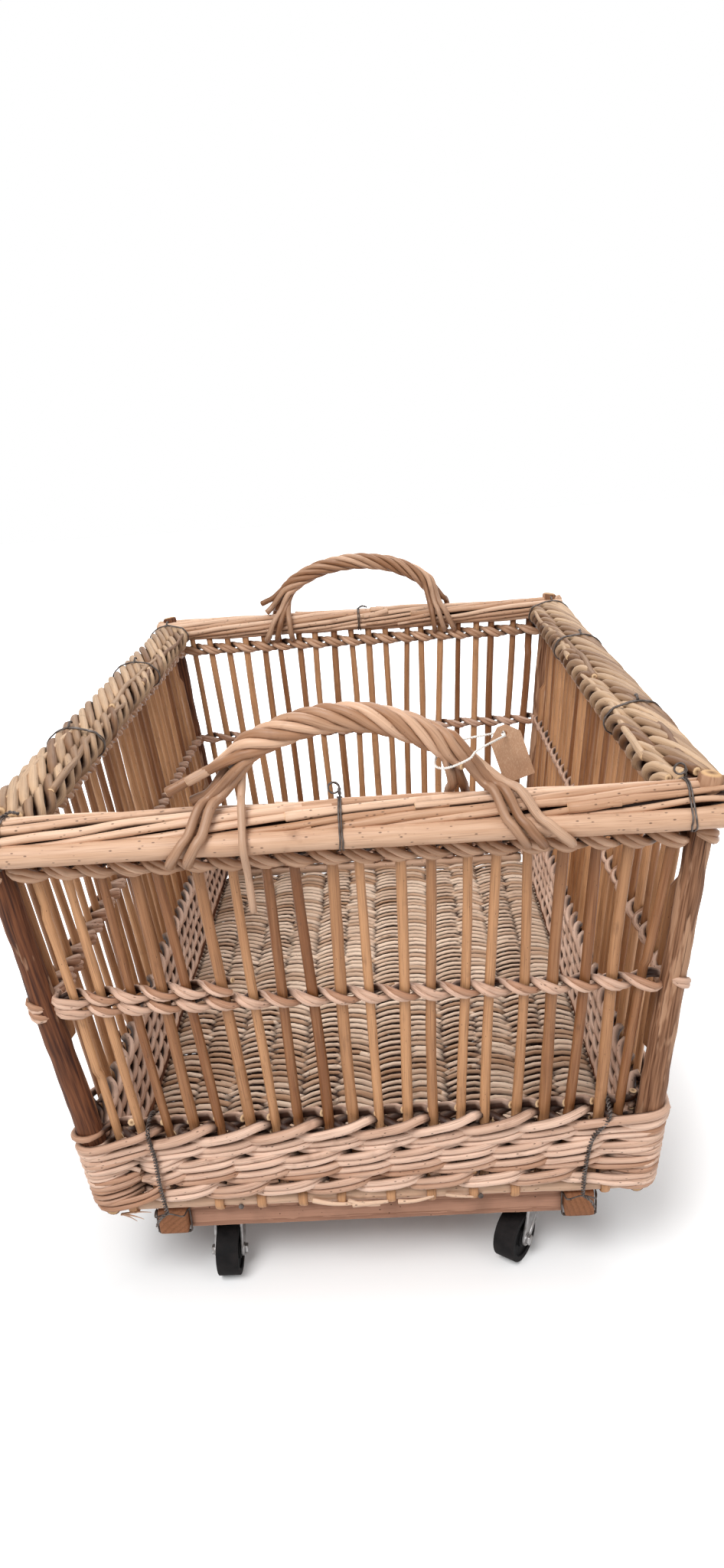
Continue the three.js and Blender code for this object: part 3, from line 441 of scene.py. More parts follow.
class Finish(Enum):
    """Every finish on the basket, by where it is."""

    PEELED = Willow("peeled_rods", linear(224, 188, 160), linear(178, 134, 102), linear(120, 78, 48),
                    0.5, 0.18, 0.46)
    HANDLE = Willow("handle_rods", linear(216, 176, 146), linear(148, 104, 72), linear(100, 62, 36),
                    0.5, 0.08, 0.42)
    BAND = Willow("buff_rods", linear(228, 194, 172), linear(170, 126, 98), linear(106, 64, 40),
                  0.6, 0.16, 0.55)
    STAKE = Willow("stake_rods", linear(200, 149, 106), linear(124, 76, 40), linear(74, 38, 15),
                   0.65, 0.1, 0.5)
    FLOOR = Willow("floor_rods", linear(250, 224, 200), linear(190, 150, 118), linear(104, 68, 42),
                   0.5, 0.12, 0.68)
    PLAIT = Willow("plait_rods", linear(197, 164, 131), linear(112, 76, 47), linear(76, 42, 20),
                   0.55, 0.12, 0.55)
    DARK_BARK = Bark("dark_bark", linear(116, 70, 44), linear(48, 20, 10), linear(206, 168, 138), 0.25)
    PALE_BARK = Bark("pale_bark", linear(150, 108, 80), linear(84, 50, 30), linear(192, 152, 122), 0.6)
    RAIL_PINE = SawnTimber("rail_pine", 1, linear(150, 100, 68), linear(92, 54, 32), 0.4, (0.11, 0, 0.02))
    BOARD_PINE = SawnTimber("board_pine", 0, linear(184, 138, 114), linear(116, 76, 56), 0.8, (0, 0.06, 0.02))
    ZINC = Metal("dull_zinc", linear(186, 184, 184), linear(122, 116, 112))
    IRON = Metal("dark_wire", linear(104, 96, 92), linear(58, 46, 40), 0.5, 0.6, 160.0)
    WHEEL = Moulding("black_wheel", linear(10, 9, 10), linear(34, 31, 31))
    KRAFT = Paper("kraft_sheet", linear(186, 146, 116), linear(206, 172, 144))
    STRING = Paper("white_string", linear(238, 234, 228), linear(214, 206, 196))

    @property
    def material(self) -> Material:
        """The finish as a material, drawn on its first use."""
        name = self.value.name
        return bpy.data.materials.get(name) or self.value.draw(Sketch(bpy.data.materials.new(name)))


# Shape helpers


def switch(mode: str) -> None:
    """Switches between object mode and edit mode."""
    bpy.ops.object.mode_set(mode=mode)


def deselect_all() -> None:
    """Leaves edit mode and deselects every object."""
    if bpy.context.object and bpy.context.object.mode != "OBJECT":
        switch("OBJECT")
    bpy.ops.object.select_all(action="DESELECT")


def activate(piece: Piece) -> None:
    """Makes a piece the one that the modelling tools act on."""
    bpy.context.view_layer.objects.active = piece


def adopt(piece: Piece, name: str, material: Material) -> Piece:
    """Names a piece and gives it its only material."""
    piece.name = name
    piece.data.name = name
    piece.data.materials.clear()
    piece.data.materials.append(material)
    return piece


def settle(piece: Piece, body: str, slot: str, *nodes: str) -> None:
    """Puts a finished piece on its body in place of the solids it stands for.

    Args:
        piece: The piece.
        body: The body that it rides on.
        slot: The record's material slot; not used.
        nodes: The solids that it replaces.
    """
    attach(piece, body)
    if nodes:
        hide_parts(*nodes)
    LOG.info("%s: %d faces, on %s", piece.name, len(piece.data.polygons), body)


@dataclass(frozen=True)
class Solid:
    """The box of a CAD solid."""

    low: Vector
    high: Vector

    @property
    def middle(self) -> Vector:
        """The middle of the box."""
        return (self.low + self.high) / 2

    @property
    def half(self) -> tuple[float, float, float]:
        """Half its size along each axis."""
        return tuple((b - a) / 2 for a, b in zip(self.low, self.high))


def solid(node: str) -> Solid:
    """Returns the box of a solid of the frame."""
    return Solid(*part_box(node))


def eased(values: Array, passes: int = 1) -> Array:
    """Draws each inner value towards its neighbours.

    Args:
        values: One row or number per point.
        passes: How often that is done.

    Returns:
        The eased values.
    """
    result = values.copy()
    for _ in range(passes):
        result[1:-1] = 0.5 * result[1:-1] + 0.25 * (result[:-2] + result[2:])
    return result


def line_of(x: object, y: object, z: object) -> Array:
    """Returns points from their coordinates, where one number may stand for all."""
    return np.column_stack(np.broadcast_arrays(x, y, z))


def run_along(points: Array) -> Array:
    """Returns the distance along a line at each of its points."""
    return np.concatenate([[0.0], np.cumsum(np.linalg.norm(np.diff(points, axis=0), axis=1))])


def spaced(points: Array, step: float) -> Array:
    """Divides a line evenly.

    Args:
        points: Points of the line.
        step: Distance between the new ones, about.

    Returns:
        The new points.
    """
    run = run_along(points)
    count = max(3, int(round(run[-1] / step)) + 1)
    at = np.linspace(0.0, run[-1], count)
    return np.column_stack([np.interp(at, run, points[:, k]) for k in range(3)])


def curved(points: Sequence[Sequence[float]], step: float) -> Array:
    """Draws a smooth curve.

    Args:
        points: What the curve passes through.
        step: Distance between the new points, about.

    Returns:
        The new points.
    """
    p = np.asarray(points, float)
    q = np.vstack([2 * p[0] - p[1], p, 2 * p[-1] - p[-2]])
    t = np.linspace(0.0, 1.0, 12, endpoint=False)[:, None]
    parts = []
    for a, b, c, d in zip(q, q[1:], q[2:], q[3:]):
        square, cube = 2 * a - 5 * b + 4 * c - d, 3 * b - a - 3 * c + d
        parts.append(0.5 * (2 * b + (c - a) * t + square * t**2 + cube * t**3))
    return spaced(np.vstack([*parts, p[-1:]]), step)


def frames(points: Array, first: Array | None = None) -> tuple[Array, Array, Array]:
    """Carries a pair of cross directions along a line without twist.

    Args:
        points: Points of the line.
        first: A direction that the first normal leans to.

    Returns:
        Tangents, normals and binormals, one row per point.
    """
    tangents = np.gradient(points, axis=0)
    tangents /= np.linalg.norm(tangents, axis=1)[:, None] + 1e-12
    lean = UP if first is None else first
    if abs(float(tangents[0] @ lean)) > 0.9:
        lean = np.array([0.31, 0.95, 0.0])
    normals = np.empty_like(points)
    normal = lean
    for i, tangent in enumerate(tangents):
        normal = normal - (normal @ tangent) * tangent
        normal = normal / (np.linalg.norm(normal) + 1e-12)
        normals[i] = normal
    return tangents, normals, np.cross(tangents, normals)


def capped(rows: Array) -> Array:
    """Returns the rows with the first and the last one doubled, for the bevelled ends of a rod."""
    return np.concatenate([rows[:1], rows, rows[-1:]])


@dataclass
class RodStock:
    """Willow rods laid along routes and joined into one piece.

    Attributes:
        seed: Seed for the small differences between rods.
        layers: The rods so far: corners, faces, UVs, and each corner's tint, cut and painted shade.
        waver: How much a rod's radius varies along it, as a share.
        bevel: Length of the bevel on its ends, in radii.
        narrowed: Radius at the tip of the bevel, in radii.
        dish: How far the middle of an end stands out, in radii.
    """

    name: str
    finish: Finish
    sides: int = 8
    seed: int = 1
    layers: dict = field(default_factory=lambda: {key: [] for key in (
        "corners", "quads", "fans", "uvs", "tint", "cut", "gloom")})
    count: int = 0
    waver: float = 0.035
    bevel: float = 0.18
    narrowed: float = 0.72
    dish: float = 0.02

    def __post_init__(self) -> None:
        """Makes the random source."""
        self.random = np.random.default_rng(self.seed)

    def wander(self, amount: float, count: int, passes: int) -> Array:
        """Returns sideways bends in two directions for that many points."""
        return eased(self.random.normal(0, amount, (count, 2)), passes)

    def lay(self, route: Array, butt: float, tip: float | None = None, flat: float = 1.0,
            tint: float | None = None, lean: Array | None = None, face: Array | None = None,
            gloom: Array | float = 0.0) -> None:
        """Adds one rod.

        Args:
            route: Points of its middle line.
            butt: Radius at the start.
            tip: Radius at the end.
            flat: Thickness as a share of the width, for split rods.
            tint: From 0, pale, to 1, dark; random if left out.
            lean: The direction that the flat side faces.
            face: Which way the lit side faces, at each point or all along; the far side gets painted shade.
            gloom: How much painted shade the rod gets, at each point or all along.
        """
        tangents, normals, binormals = frames(route, lean)
        rings = len(route)
        radius = np.linspace(butt, butt if tip is None else tip, rings)
        radius = radius * (1 + self.waver * eased(self.random.normal(size=rings)))
        outward = radius[[0, -1]][:, None] * tangents[[0, -1]] * [[-1], [1]]
        middle = capped(route)
        middle[[0, -1]] += self.bevel * outward
        widths = capped(radius)
        widths[[0, -1]] *= self.narrowed
        angle = (np.arange(self.sides) * FULL_TURN / self.sides)[None, :, None]
        ring = flat * np.cos(angle) * capped(normals)[:, None] + np.sin(angle) * capped(binormals)[:, None]
        skin = (middle[:, None, :] + widths[:, None, None] * ring).reshape(-1, 3)
        self.layers["corners"].append(np.vstack([skin, middle[[0, -1]] + self.dish * outward]))
        self.join_up(len(middle), capped(run_along(route)), FULL_TURN * float(radius.mean()))
        cut = np.zeros(len(middle) * self.sides + 2)
        cut[: self.sides] = cut[-self.sides - 2: -2] = 0.7
        cut[-2:] = 1.0
        # Painted shade: the given amount, plus more on the side of each ring turned away from the lit side.
        dirt_and_shade = capped(np.broadcast_to(np.asarray(gloom, float), (rings,)))[:, None].repeat(self.sides, axis=1)
        if face is not None:
            lit_side = capped(np.broadcast_to(face, (rings, 3)))
            strength = np.linalg.norm(lit_side, axis=1)[:, None]
            dirt_and_shade = dirt_and_shade + np.clip(0.3 * strength - np.einsum("rsk,rk->rs", ring, lit_side), 0, 1)
        shade = float(self.random.uniform(0, 1) ** 1.3 if tint is None else tint)
        self.layers["cut"].append(cut)
        self.layers["gloom"].append(np.concatenate([dirt_and_shade.ravel(), [dirt_and_shade[0].mean(), dirt_and_shade[-1].mean()]]))
        self.layers["tint"].append(np.full(len(cut), shade))
        self.count += len(cut)

    def join_up(self, rings: int, length: Array, girth: float) -> None:
        """Adds the faces of one rod and their UVs.

        Args:
            rings: How many rings the rod has.
            length: Distance along the rod at each ring.
            girth: Distance round the rod.
        """
        n = self.sides
        row, col = (index.ravel() for index in np.indices((rings - 1, n)))
        after = (col + 1) % n
        this, other = row * n, (row + 1) * n
        quads = np.column_stack([this + col, this + after, other + after, other + col])
        self.layers["quads"].append(quads + self.count)
        side = np.arange(n)
        last, centre = (rings - 1) * n, rings * n
        self.layers["fans"].append(np.vstack([
            np.column_stack([np.full(n, centre), (side + 1) % n, side]),
            np.column_stack([np.full(n, centre + 1), last + side, last + (side + 1) % n]),
        ]) + self.count)
        shift = self.random.uniform(0, 9, 2)
        u0, u1 = girth * col / n + shift[0], girth * (col + 1) / n + shift[0]
        v0, v1 = length[row] + shift[1], length[row + 1] + shift[1]
        self.layers["uvs"].append(np.stack([u0, v0, u1, v0, u1, v1, u0, v1], axis=1).reshape(-1, 2))

    def twist(self, line: Array, turns: Array, offset: float, radius: float) -> None:
        """Lays two rods twisted round each other.

        Args:
            line: Points of the middle line.
            turns: Turns so far at each point.
            offset: Distance of each rod from the middle line.
            radius: Radius of each rod.
        """
        _, normals, binormals = frames(line)
        for start in (0.0, math.pi):
            turn = (FULL_TURN * turns + start)[:, None]
            self.lay(line + offset * (np.cos(turn) * normals + np.sin(turn) * binormals), radius)

    def settle(self, slot: str, *nodes: str) -> None:
        """Makes the piece and puts it on the basket in place of those solids."""
        settle(self.build(), BODY, slot, *nodes)

    def build(self) -> Piece:
        """Makes the piece, at the origin, and returns it."""
        corners, quads, fans = (np.vstack(self.layers[key]) for key in ("corners", "quads", "fans"))
        loops = np.concatenate([quads.ravel(), fans.ravel()])
        starts = np.concatenate([np.arange(len(quads)) * 4, len(quads) * 4 + np.arange(len(fans)) * 3])
        mesh = bpy.data.meshes.new(self.name)
        mesh.vertices.add(len(corners))
        mesh.vertices.foreach_set("co", corners.astype(np.float32).ravel())
        mesh.loops.add(len(loops))
        mesh.loops.foreach_set("vertex_index", loops.astype(np.int32))
        mesh.polygons.add(len(starts))
        mesh.polygons.foreach_set("loop_start", starts.astype(np.int32))
        uvs = np.vstack([*self.layers["uvs"], np.zeros((len(fans) * 3, 2))])
        mesh.uv_layers.new(name="rod").data.foreach_set("uv", uvs.astype(np.float32).ravel())
        # The painted shade goes into a mesh attribute that the willow material reads.
        for label in ("tint", "cut", "gloom"):
            values = np.concatenate(self.layers[label]).astype(np.float32)
            mesh.attributes.new(label, "FLOAT", "POINT").data.foreach_set("value", values)
        mesh.update(calc_edges=True)
        mesh.shade_smooth()
        piece = bpy.data.objects.new(self.name, mesh)
        bpy.context.scene.collection.objects.link(piece)
        return adopt(piece, self.name, self.finish.material)


# The leaning shell that all the weaving follows


@dataclass
class Shell:
    """The leaning walls through the axes of the corner posts, read from the frame.

    Places go round the basket in bays between stakes, from the front left post along the walls in order.

    Attributes:
        turn: Share of a bay, either side of a post, in which a rod rounds it.
    """

    foot_radius: float = 12.5 * MM
    top_radius: float = 10.2 * MM
    end_stakes: int = 20
    side_stakes: int = 30
    turn: float = 0.38

    def __post_init__(self) -> None:
        """Reads the posts' axes."""
        low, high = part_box("post_front_right")
        self.foot_z, self.top_z = low.z, high.z
        self.foot_half = (low.x + self.foot_radius, -high.y + self.foot_radius)
        self.top_half = (high.x - self.top_radius, -low.y - self.top_radius)
        self.bays = (self.end_stakes + 1, self.side_stakes + 1) * 2
        self.starts = tuple(np.concatenate([[0], np.cumsum(self.bays)[:-1]]).tolist())
        self.total = sum(self.bays)

    def half(self, z: Array | float) -> tuple:
        """Returns half the distances between post axes at a height, across and lengthwise."""
        share = (np.asarray(z) - self.foot_z) / (self.top_z - self.foot_z)
        return tuple(a + (b - a) * share for a, b in zip(self.foot_half, self.top_half))

    def post_radius(self, z: Array | float) -> Array:
        """Returns the radius of a post at a height."""
        share = np.clip((np.asarray(z) - self.foot_z) / (self.top_z - self.foot_z), 0, 1)
        return self.foot_radius + (self.top_radius - self.foot_radius) * share

    def place(self, u: Array, out: Array, z: Array, radius: float) -> Array:
        """Puts points of a woven rod in space, going round the corner posts.

        Args:
            u: Places round the basket, in bays.
            out: Distances out from the stakes' axes.
            z: Heights.
            radius: The rod's radius.

        Returns:
            One row per point.
        """
        u = np.mod(u, self.total)
        points = np.empty((len(u), 3))
        halves = self.half(z)
        clear = self.post_radius(z) + radius
        for wall, (start, bays) in enumerate(zip(self.starts, self.bays)):
            mask = (u >= start) & (u < start + bays)
            t, o, room = u[mask] - start, out[mask], clear[mask]
            along_half, depth_half = halves[wall % 2][mask], halves[1 - wall % 2][mask]
            e = np.minimum(t, bays - t)
            end = np.where(t < bays / 2, -1.0, 1.0)
            near = np.clip(1.35 - e, 0, 1)
            near = near * near * (3 - 2 * near)
            outer, inner = o + np.maximum(room - o, 0) * near, o - np.maximum(0.8 * room + o, 0) * near
            o = np.where(o >= 0, outer, inner)
            rounded = np.maximum(e - self.turn, 0) / (1 - self.turn)
            straight = np.where(e < 1, rounded, e) * 2 * along_half / bays
            straight = np.where(o < 0, np.maximum(straight, -o), straight)
            angle = np.where(o >= 0, math.pi / 4 * np.clip(1 - e / self.turn, 0, 1), 0.0)
            along = end * (along_half - straight + o * np.sin(angle) * (o >= 0))
            depth = depth_half + o * np.cos(angle)
            ahead, outward = self.directions(wall)
            points[mask] = along[:, None] * ahead + depth[:, None] * outward + z[mask][:, None] * UP
        return points

    @staticmethod
    def directions(wall: int) -> tuple[Array, Array]:
        """Returns a wall's direction of travel and its outward direction."""
        turn = wall * math.pi / 2
        ahead = np.array([math.cos(turn), math.sin(turn), 0.0]).round(6)
        return ahead, np.array([ahead[1], -ahead[0], 0.0])

    def outward(self, u: float) -> Array:
        """Returns the outward direction of the wall at a place."""
        wall = int(np.searchsorted(self.starts, u % self.total, side="right")) - 1
        return self.directions(wall)[1]

    def is_post(self, u: int) -> bool:
        """Tells whether a corner post stands at this place."""
        return u % self.total in self.starts

    def from_post(self, u: Array) -> Array:
        """Returns how many bays each place is from the nearest corner post."""
        posts = np.array([*self.starts, self.total])
        return np.abs(np.mod(u, self.total)[:, None] - posts[None, :]).min(axis=1)

    def exposure(self, points: Array) -> tuple[Array, Array]:
        """Works out how woven rods lie to the light.

        Args:
            points: Points of a rod.

        Returns:
            The way that it faces at each point, and how deep it is between the stakes there, from 0 to 1.
        """
        beyond = np.abs(points[:, :2]) - np.column_stack(self.half(points[:, 2]))
        axis = beyond.argmax(axis=1)
        rows = np.arange(len(points))
        depth = beyond[rows, axis]
        face = np.zeros((len(points), 3))
        face[rows, axis] = 1.15 * np.sign(points[rows, axis]) * np.clip(depth / (5 * MM), -1, 1)
        return face, np.clip(1.1 - np.abs(depth) / (6 * MM), 0, 1)

    def lay(self, stock: RodStock, route: Array, butt: float, tip: float, dirt_and_shade: float,
            tint: float | None = None) -> None:
        """Lays a woven rod with painted shade where it lies deep between the stakes and on its side turned
        towards them.

        Args:
            stock: The piece that takes it.
            route: Points of its middle line.
            butt: Radius at the start.
            tip: Radius at the end.
            dirt_and_shade: How much painted shade it gets where it lies deepest.
            tint: From 0, pale, to 1, dark; random if left out.
        """
        # Painted shade: deep between the stakes and on the side facing the stakes.
        face, gloom = self.exposure(route)
        stock.lay(route, butt, tip, tint=tint, face=face, gloom=dirt_and_shade * gloom)


# Weaving


@dataclass
class WaleRound:
    """One round of waling: each weaver passes outside three stakes and inside one.

    Attributes:
        foot: Height of its lowest rod above the band's foot.
        rise: How much a stroke climbs.
        rods: Rods side by side in each weaver.
        phase: Which stakes are passed on the inside.
        core: Radius of what it goes round.
        cross: Share of the rise at which it passes through the wall.
        lift: How far it climbs at the corners; negative where it sags.
    """

    foot: float
    rise: float
    radius: float
    rods: int
    phase: int
    core: float = 5.2 * MM
    cross: float = 0.55
    lift: float = 0.0


@dataclass
class Band:
    """The deep band of waling at the foot of the walls.

    Attributes:
        rod_bays: Fewest and most bays that one rod covers before the next joins.
        flat_ends: Flat ends between the strokes.
        courses: Lowest, limit and step of the rods round a post, in millimetres.
        rounds: From the bottom up; the lowest hangs in front of the base sticks.
    """

    shell: Shell
    step: float = 5.5 * MM
    rod_bays: tuple = (24, 40)
    flat_ends: int = 260
    courses: tuple = (3, 74, 7.1)
    rounds: tuple = (
        WaleRound(1.5 * MM, 11.0 * MM, 3.3 * MM, 2, 1, 6.4 * MM, 0.9, -7.0 * MM),
        WaleRound(18.5 * MM, 11.5 * MM, 3.4 * MM, 2, 0, lift=-3.0 * MM),
        WaleRound(35.0 * MM, 12.0 * MM, 3.5 * MM, 2, 0),
        WaleRound(51.0 * MM, 12.5 * MM, 3.4 * MM, 2, 1),
        WaleRound(67.6 * MM, 17.5 * MM, 4.5 * MM, 1, 1),
    )

    def hidden(self, phase: int) -> list[int]:
        """Returns the stakes behind which a weaver passes, with none of them a post."""
        places = range(phase, self.shell.total + phase, 4)
        return [u + 1 if self.shell.is_post(u) else u for u in places]

    def route(self, course: WaleRound, weaver: int, rod: int) -> tuple[Array, Array, Array]:
        """Works out a weaver's way round the basket.

        Args:
            course: The round that it belongs to.
            weaver: 0 or 1, half a stroke apart.
            rod: Which rod of the weaver.

        Returns:
            Places, distances out and heights.
        """
        turns = self.hidden(course.phase + 2 * weaver)
        turns = turns + [turns[0] + self.shell.total]
        near = course.core + course.radius
        far = near + 1.7 * course.radius
        u, out, climb = [], [], []
        for a, b in zip(turns[:-1], turns[1:]):
            u += [a, a + 0.5, a + 1.0, a + 1.6, b - 1.1, b - 0.55]
            out += [-near, 0.15 * near, near, near + 0.3 * course.radius, far, 0.5 * far]
            climb += [course.cross, course.cross * 0.85 - 0.17, 0.04, 0.16, 0.86, 1.0]
        u, out, climb = (np.array(v + [v[0]]) for v in (u, out, climb))
        u[-1] = turns[-1]
        fine = np.arange(u[0], u[-1], 0.2)
        lift = course.lift * eased(np.clip(2.2 - self.shell.from_post(fine), 0, 1), 3)
        foot = self.shell.foot_z + course.foot + lift
        z = foot + course.rise * eased(np.interp(fine, u, climb), 3) + rod * 2.02 * course.radius
        return fine, eased(np.interp(fine, u, out), 3), z

    def weave(self, stock: RodStock) -> None:
        """Lays the band's rods round the whole basket."""
        for course in self.rounds:
            for weaver in range(2):
                for rod in range(course.rods):
                    self.lay_weaver(stock, course, *self.route(course, weaver, rod))

    def lay_weaver(self, stock: RodStock, course: WaleRound, u: Array, out: Array,
                   z: Array) -> None:
        """Lays one weaver as rods that join end to end inside the basket.

        Args:
            stock: The piece that takes the rods.
            course: The round that the weaver belongs to.
            u: Places round the basket.
            out: Distances out.
            z: Heights.
        """
        inside = np.flatnonzero((out[1:-1] < out[:-2]) & (out[1:-1] <= out[2:])) + 1
        wobble = eased(stock.random.normal(0, MM, len(u)), 8)
        out, z = out + wobble, z + wobble[::-1]
        start = 0
        while start < len(u) - 1:
            wanted = u[start] + stock.random.uniform(*self.rod_bays)
            later = inside[u[inside] > wanted]
            end = len(u) if len(later) == 0 or u[-1] - u[later[0]] < 8 else int(later[0])
            part = slice(max(start - 3, 0), end + 2)
            points = self.shell.place(u[part], out[part], z[part], course.radius)
            thick = course.radius * stock.random.uniform(0.95, 1.12)
            route = spaced(eased(points, 2), self.step)
            # Full painted shade where the weaver lies deep between the stakes.
            self.shell.lay(stock, route, thick, thick * stock.random.uniform(0.75, 0.95), 1.0)
            start = end

    def filling(self, stock: RodStock) -> None:
        """Lays the short flat ends that show in the gaps between the strokes."""
        random = stock.random
        share = np.linspace(-0.5, 0.5, 7)
        for _ in range(self.flat_ends):
            u = random.uniform(0, self.shell.total)
            z = self.shell.foot_z + random.uniform(8, 70) * MM
            at = np.linspace(u, u + random.uniform(0.7, 1.3), 7)
            slope = random.choice([-1, 1]) * random.uniform(4, 11) * MM
            points = self.shell.place(at, np.full(7, 7.5 * MM), z + slope * share, 2 * MM)
            # A little painted shade, as these ends lie in the gaps between strokes.
            stock.lay(points, 2.7 * MM, flat=0.55, lean=self.shell.outward(u), gloom=0.2)

    def inner(self, stock: RodStock) -> None:
        """Lays the short strokes that the weavers show inside the basket."""
        share = np.linspace(0, 1, 9)
        for course in self.rounds:
            out = -(course.core + 0.9 * course.radius) * np.sin(math.pi * share) ** 0.6 - MM
            middle = self.shell.foot_z + course.foot + 0.75 * course.rise
            for k in range(self.shell.total):
                if self.shell.is_post(k):
                    continue
                climb = -1 if k > self.shell.starts[3] else 1
                z = middle + climb * (share - 0.5) * 15 * MM + stock.random.normal(0, MM)
                room = self.shell.from_post(np.array([k]))[0] - 0.35
                at = np.clip(k + (share - 0.5) * 1.7, k - room, k + room)
                points = self.shell.place(at, out, z, course.radius)
                tint = stock.random.uniform(0, 0.5)
                # Painted shade on the inside strokes where they lie between the stakes.
                self.shell.lay(stock, points, course.radius * 1.05, course.radius * 0.95, 0.6, tint)

    def corners(self, stock: RodStock) -> None:
        """Lays the rods that close the band round the corner posts."""
        share = np.linspace(-1, 1, 19)
        for post in self.shell.starts:
            for z in np.arange(*self.courses) * MM:
                at = post + 1.5 * share + stock.random.uniform(-0.2, 0.2)
                out = 6 * MM - 9 * MM * np.abs(share) ** 3
                climb = 5 * MM * share + stock.random.normal(0, MM)
                points = self.shell.place(at, out, self.shell.foot_z + z + climb, 2.8 * MM)
                # Painted shade on the corner rods where they lie deep.
                self.shell.lay(stock, points, 3.1 * MM, 2.5 * MM, 0.5)


@dataclass
class Fitch:
    """A row of fitching: two weavers twist about each other between the stakes.

    Attributes:
        z: Height of the row.
        first: Where it starts, in bays.
        last: Where it ends.
        rods: Rods in each weaver.
        twist: How far a weaver moves up and down.
        end_rise: How much the row climbs over its last bays.
        rise_bays: Bays over which it climbs.
        stake_radius: Radius of the stakes that the rods go round.
    """

    shell: Shell
    z: float
    first: float
    last: float
    radius: float = 2.9 * MM
    rods: int = 2
    twist: float = 3.9 * MM
    end_rise: float = 0.0
    rise_bays: float = 10.0
    stake_radius: float = 5.0 * MM

    def weave(self, stock: RodStock) -> None:
        """Lays the row's rods."""
        for weaver in range(2):
            for rod in range(self.rods):
                self.lay_rod(stock, weaver, (rod - (self.rods - 1) / 2) * 2.0 * self.radius)

    def lay_rod(self, stock: RodStock, weaver: int, offset: float) -> None:
        """Lays one rod of a weaver.

        Args:
            stock: The piece that takes it.
            weaver: 0 or 1, on opposite sides of the stakes.
            offset: Its distance from the weaver's middle.
        """
        u = np.arange(self.first, self.last, 0.2)
        swing = math.pi * (u + weaver)
        reach = self.stake_radius + self.radius * 1.05
        squared = np.tanh(2.2 * np.cos(swing)) / math.tanh(2.2)
        out = reach * squared + offset * 0.8 * np.sin(swing)
        climb = self.end_rise * np.clip(1 - (self.last - u) / self.rise_bays, 0, 1)
        z = self.z + climb - self.twist * np.sin(swing) + offset * np.cos(swing)
        wobble = eased(stock.random.normal(0, 0.5 * MM, len(u)), 6)
        points = self.shell.place(u, out, z + wobble, self.radius)
        thick = self.radius * stock.random.uniform(0.88, 1.1)
        route = spaced(eased(points), 5.5 * MM)
        # Light painted shade where the fitch lies between the stakes.
        self.shell.lay(stock, route, thick, thick * stock.random.uniform(0.85, 1.0), 0.35)


@dataclass
class Walls:
    """The woven walls: stakes, the band, the fitches halfway up and under the rim, and the corner posts.

    Attributes:
        mid_z: Height of the middle fitch.
        mid_bays: Bays by which it starts before the first post, and passes it at its end.
        lap: How far its end stands above its start.
        top_z: Height of the fitch under the rim.
        stake_radii: Thinnest and thickest stake.
        stake_tops: Where stakes end, under the end rims and under the side rims.
    """

    shell: Shell
    mid_z: float = 341 * MM
    mid_bays: tuple = (15.0, 6.6)
    lap: float = 15 * MM
    top_z: float = 482 * MM
    stake_radii: tuple = (4.5 * MM, 5.9 * MM)
    stake_tops: tuple = (505 * MM, 503 * MM)
    barks: tuple = (Finish.DARK_BARK, Finish.PALE_BARK, Finish.DARK_BARK, Finish.PALE_BARK)

    def stakes(self, wall: int, name: str) -> None:
        """Stands the stakes of a wall.

        Args:
            wall: Its place in the order.
            name: Its name.
        """
        shell = self.shell
        stock = RodStock(f"stakes_{name}", Finish.STAKE, 8, 20 + wall)
        random = stock.random
        levels = np.arange(shell.foot_z + 2 * MM, self.stake_tops[wall % 2], 9 * MM)
        share = np.linspace(-0.5, 0.5, len(levels))
        _, outward = shell.directions(wall)
        for k in range(1, shell.bays[wall]):
            slant, wave, phase = random.normal(0, 0.14), random.normal(0, 0.05), random.uniform(0, 6)
            sway = slant * share + wave * np.sin(5 * share + phase)
            bow = random.normal(0, 0.7 * MM) * np.sin(7 * share + phase)
            u = shell.starts[wall] + k + random.normal(0, 0.05) + sway
            thick = random.uniform(*self.stake_radii)
            points = shell.place(u, bow, levels, 0.0)
            stock.lay(points, thick, thick * 0.88, flat=random.uniform(0.86, 1.0), lean=outward)
        stock.settle("stake_willow", f"wall_{name}")

    def post(self, corner: str, bark: Finish, seed: int) -> None:
        """Stands one corner post.

        Args:
            corner: Which corner.
            bark: Its finish.
            seed: Seed of its bends.
        """
        low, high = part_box(f"post_{corner}")
        end, side = corner.split("_")
        stock = RodStock(f"corner_post_{corner}", bark, 20, seed)
        levels = np.linspace(low.z, high.z - 0.3 * MM, 60)
        x, y = self.shell.half(levels)
        bend = stock.wander(1.2 * MM, 60, 12)
        points = line_of(dict(SIDES)[side] * x + bend[:, 0], dict(ENDS)[end] * y + bend[:, 1], levels)
        stock.lay(points, self.shell.foot_radius, self.shell.top_radius, tint=0.5)
        stock.settle("bark_willow", f"post_{corner}")

    def build(self) -> None:
        """Builds the walls."""
        for wall, name in enumerate(WALLS):
            self.stakes(wall, name)
        nodes = [f"wall_{name}" for name in WALLS]
        band, total = Band(self.shell), self.shell.total
        before, past = self.mid_bays
        middle = Fitch(self.shell, self.mid_z, -before, total + past, end_rise=self.lap, rise_bays=19.0)
        top = Fitch(self.shell, self.top_z, 0.0, total, radius=3.7 * MM, twist=4.9 * MM)
        for name, finish, seed, strokes in (
            ("lower_band", Finish.BAND, 31, (band.weave,)),
            ("band_inner_strokes", Finish.BAND, 36, (band.filling, band.inner, band.corners)),
            ("middle_fitch", Finish.BAND, 41, (middle.weave,)),
            ("upper_fitch", Finish.HANDLE, 51, (top.weave,)),
        ):
            stock = RodStock(name, finish, 8, seed)
            for stroke in strokes:
                stroke(stock)
            stock.settle("buff_willow", *nodes)
        for seed, (corner, bark) in enumerate(zip(CORNERS, self.barks), 60):
            self.post(corner, bark, seed)


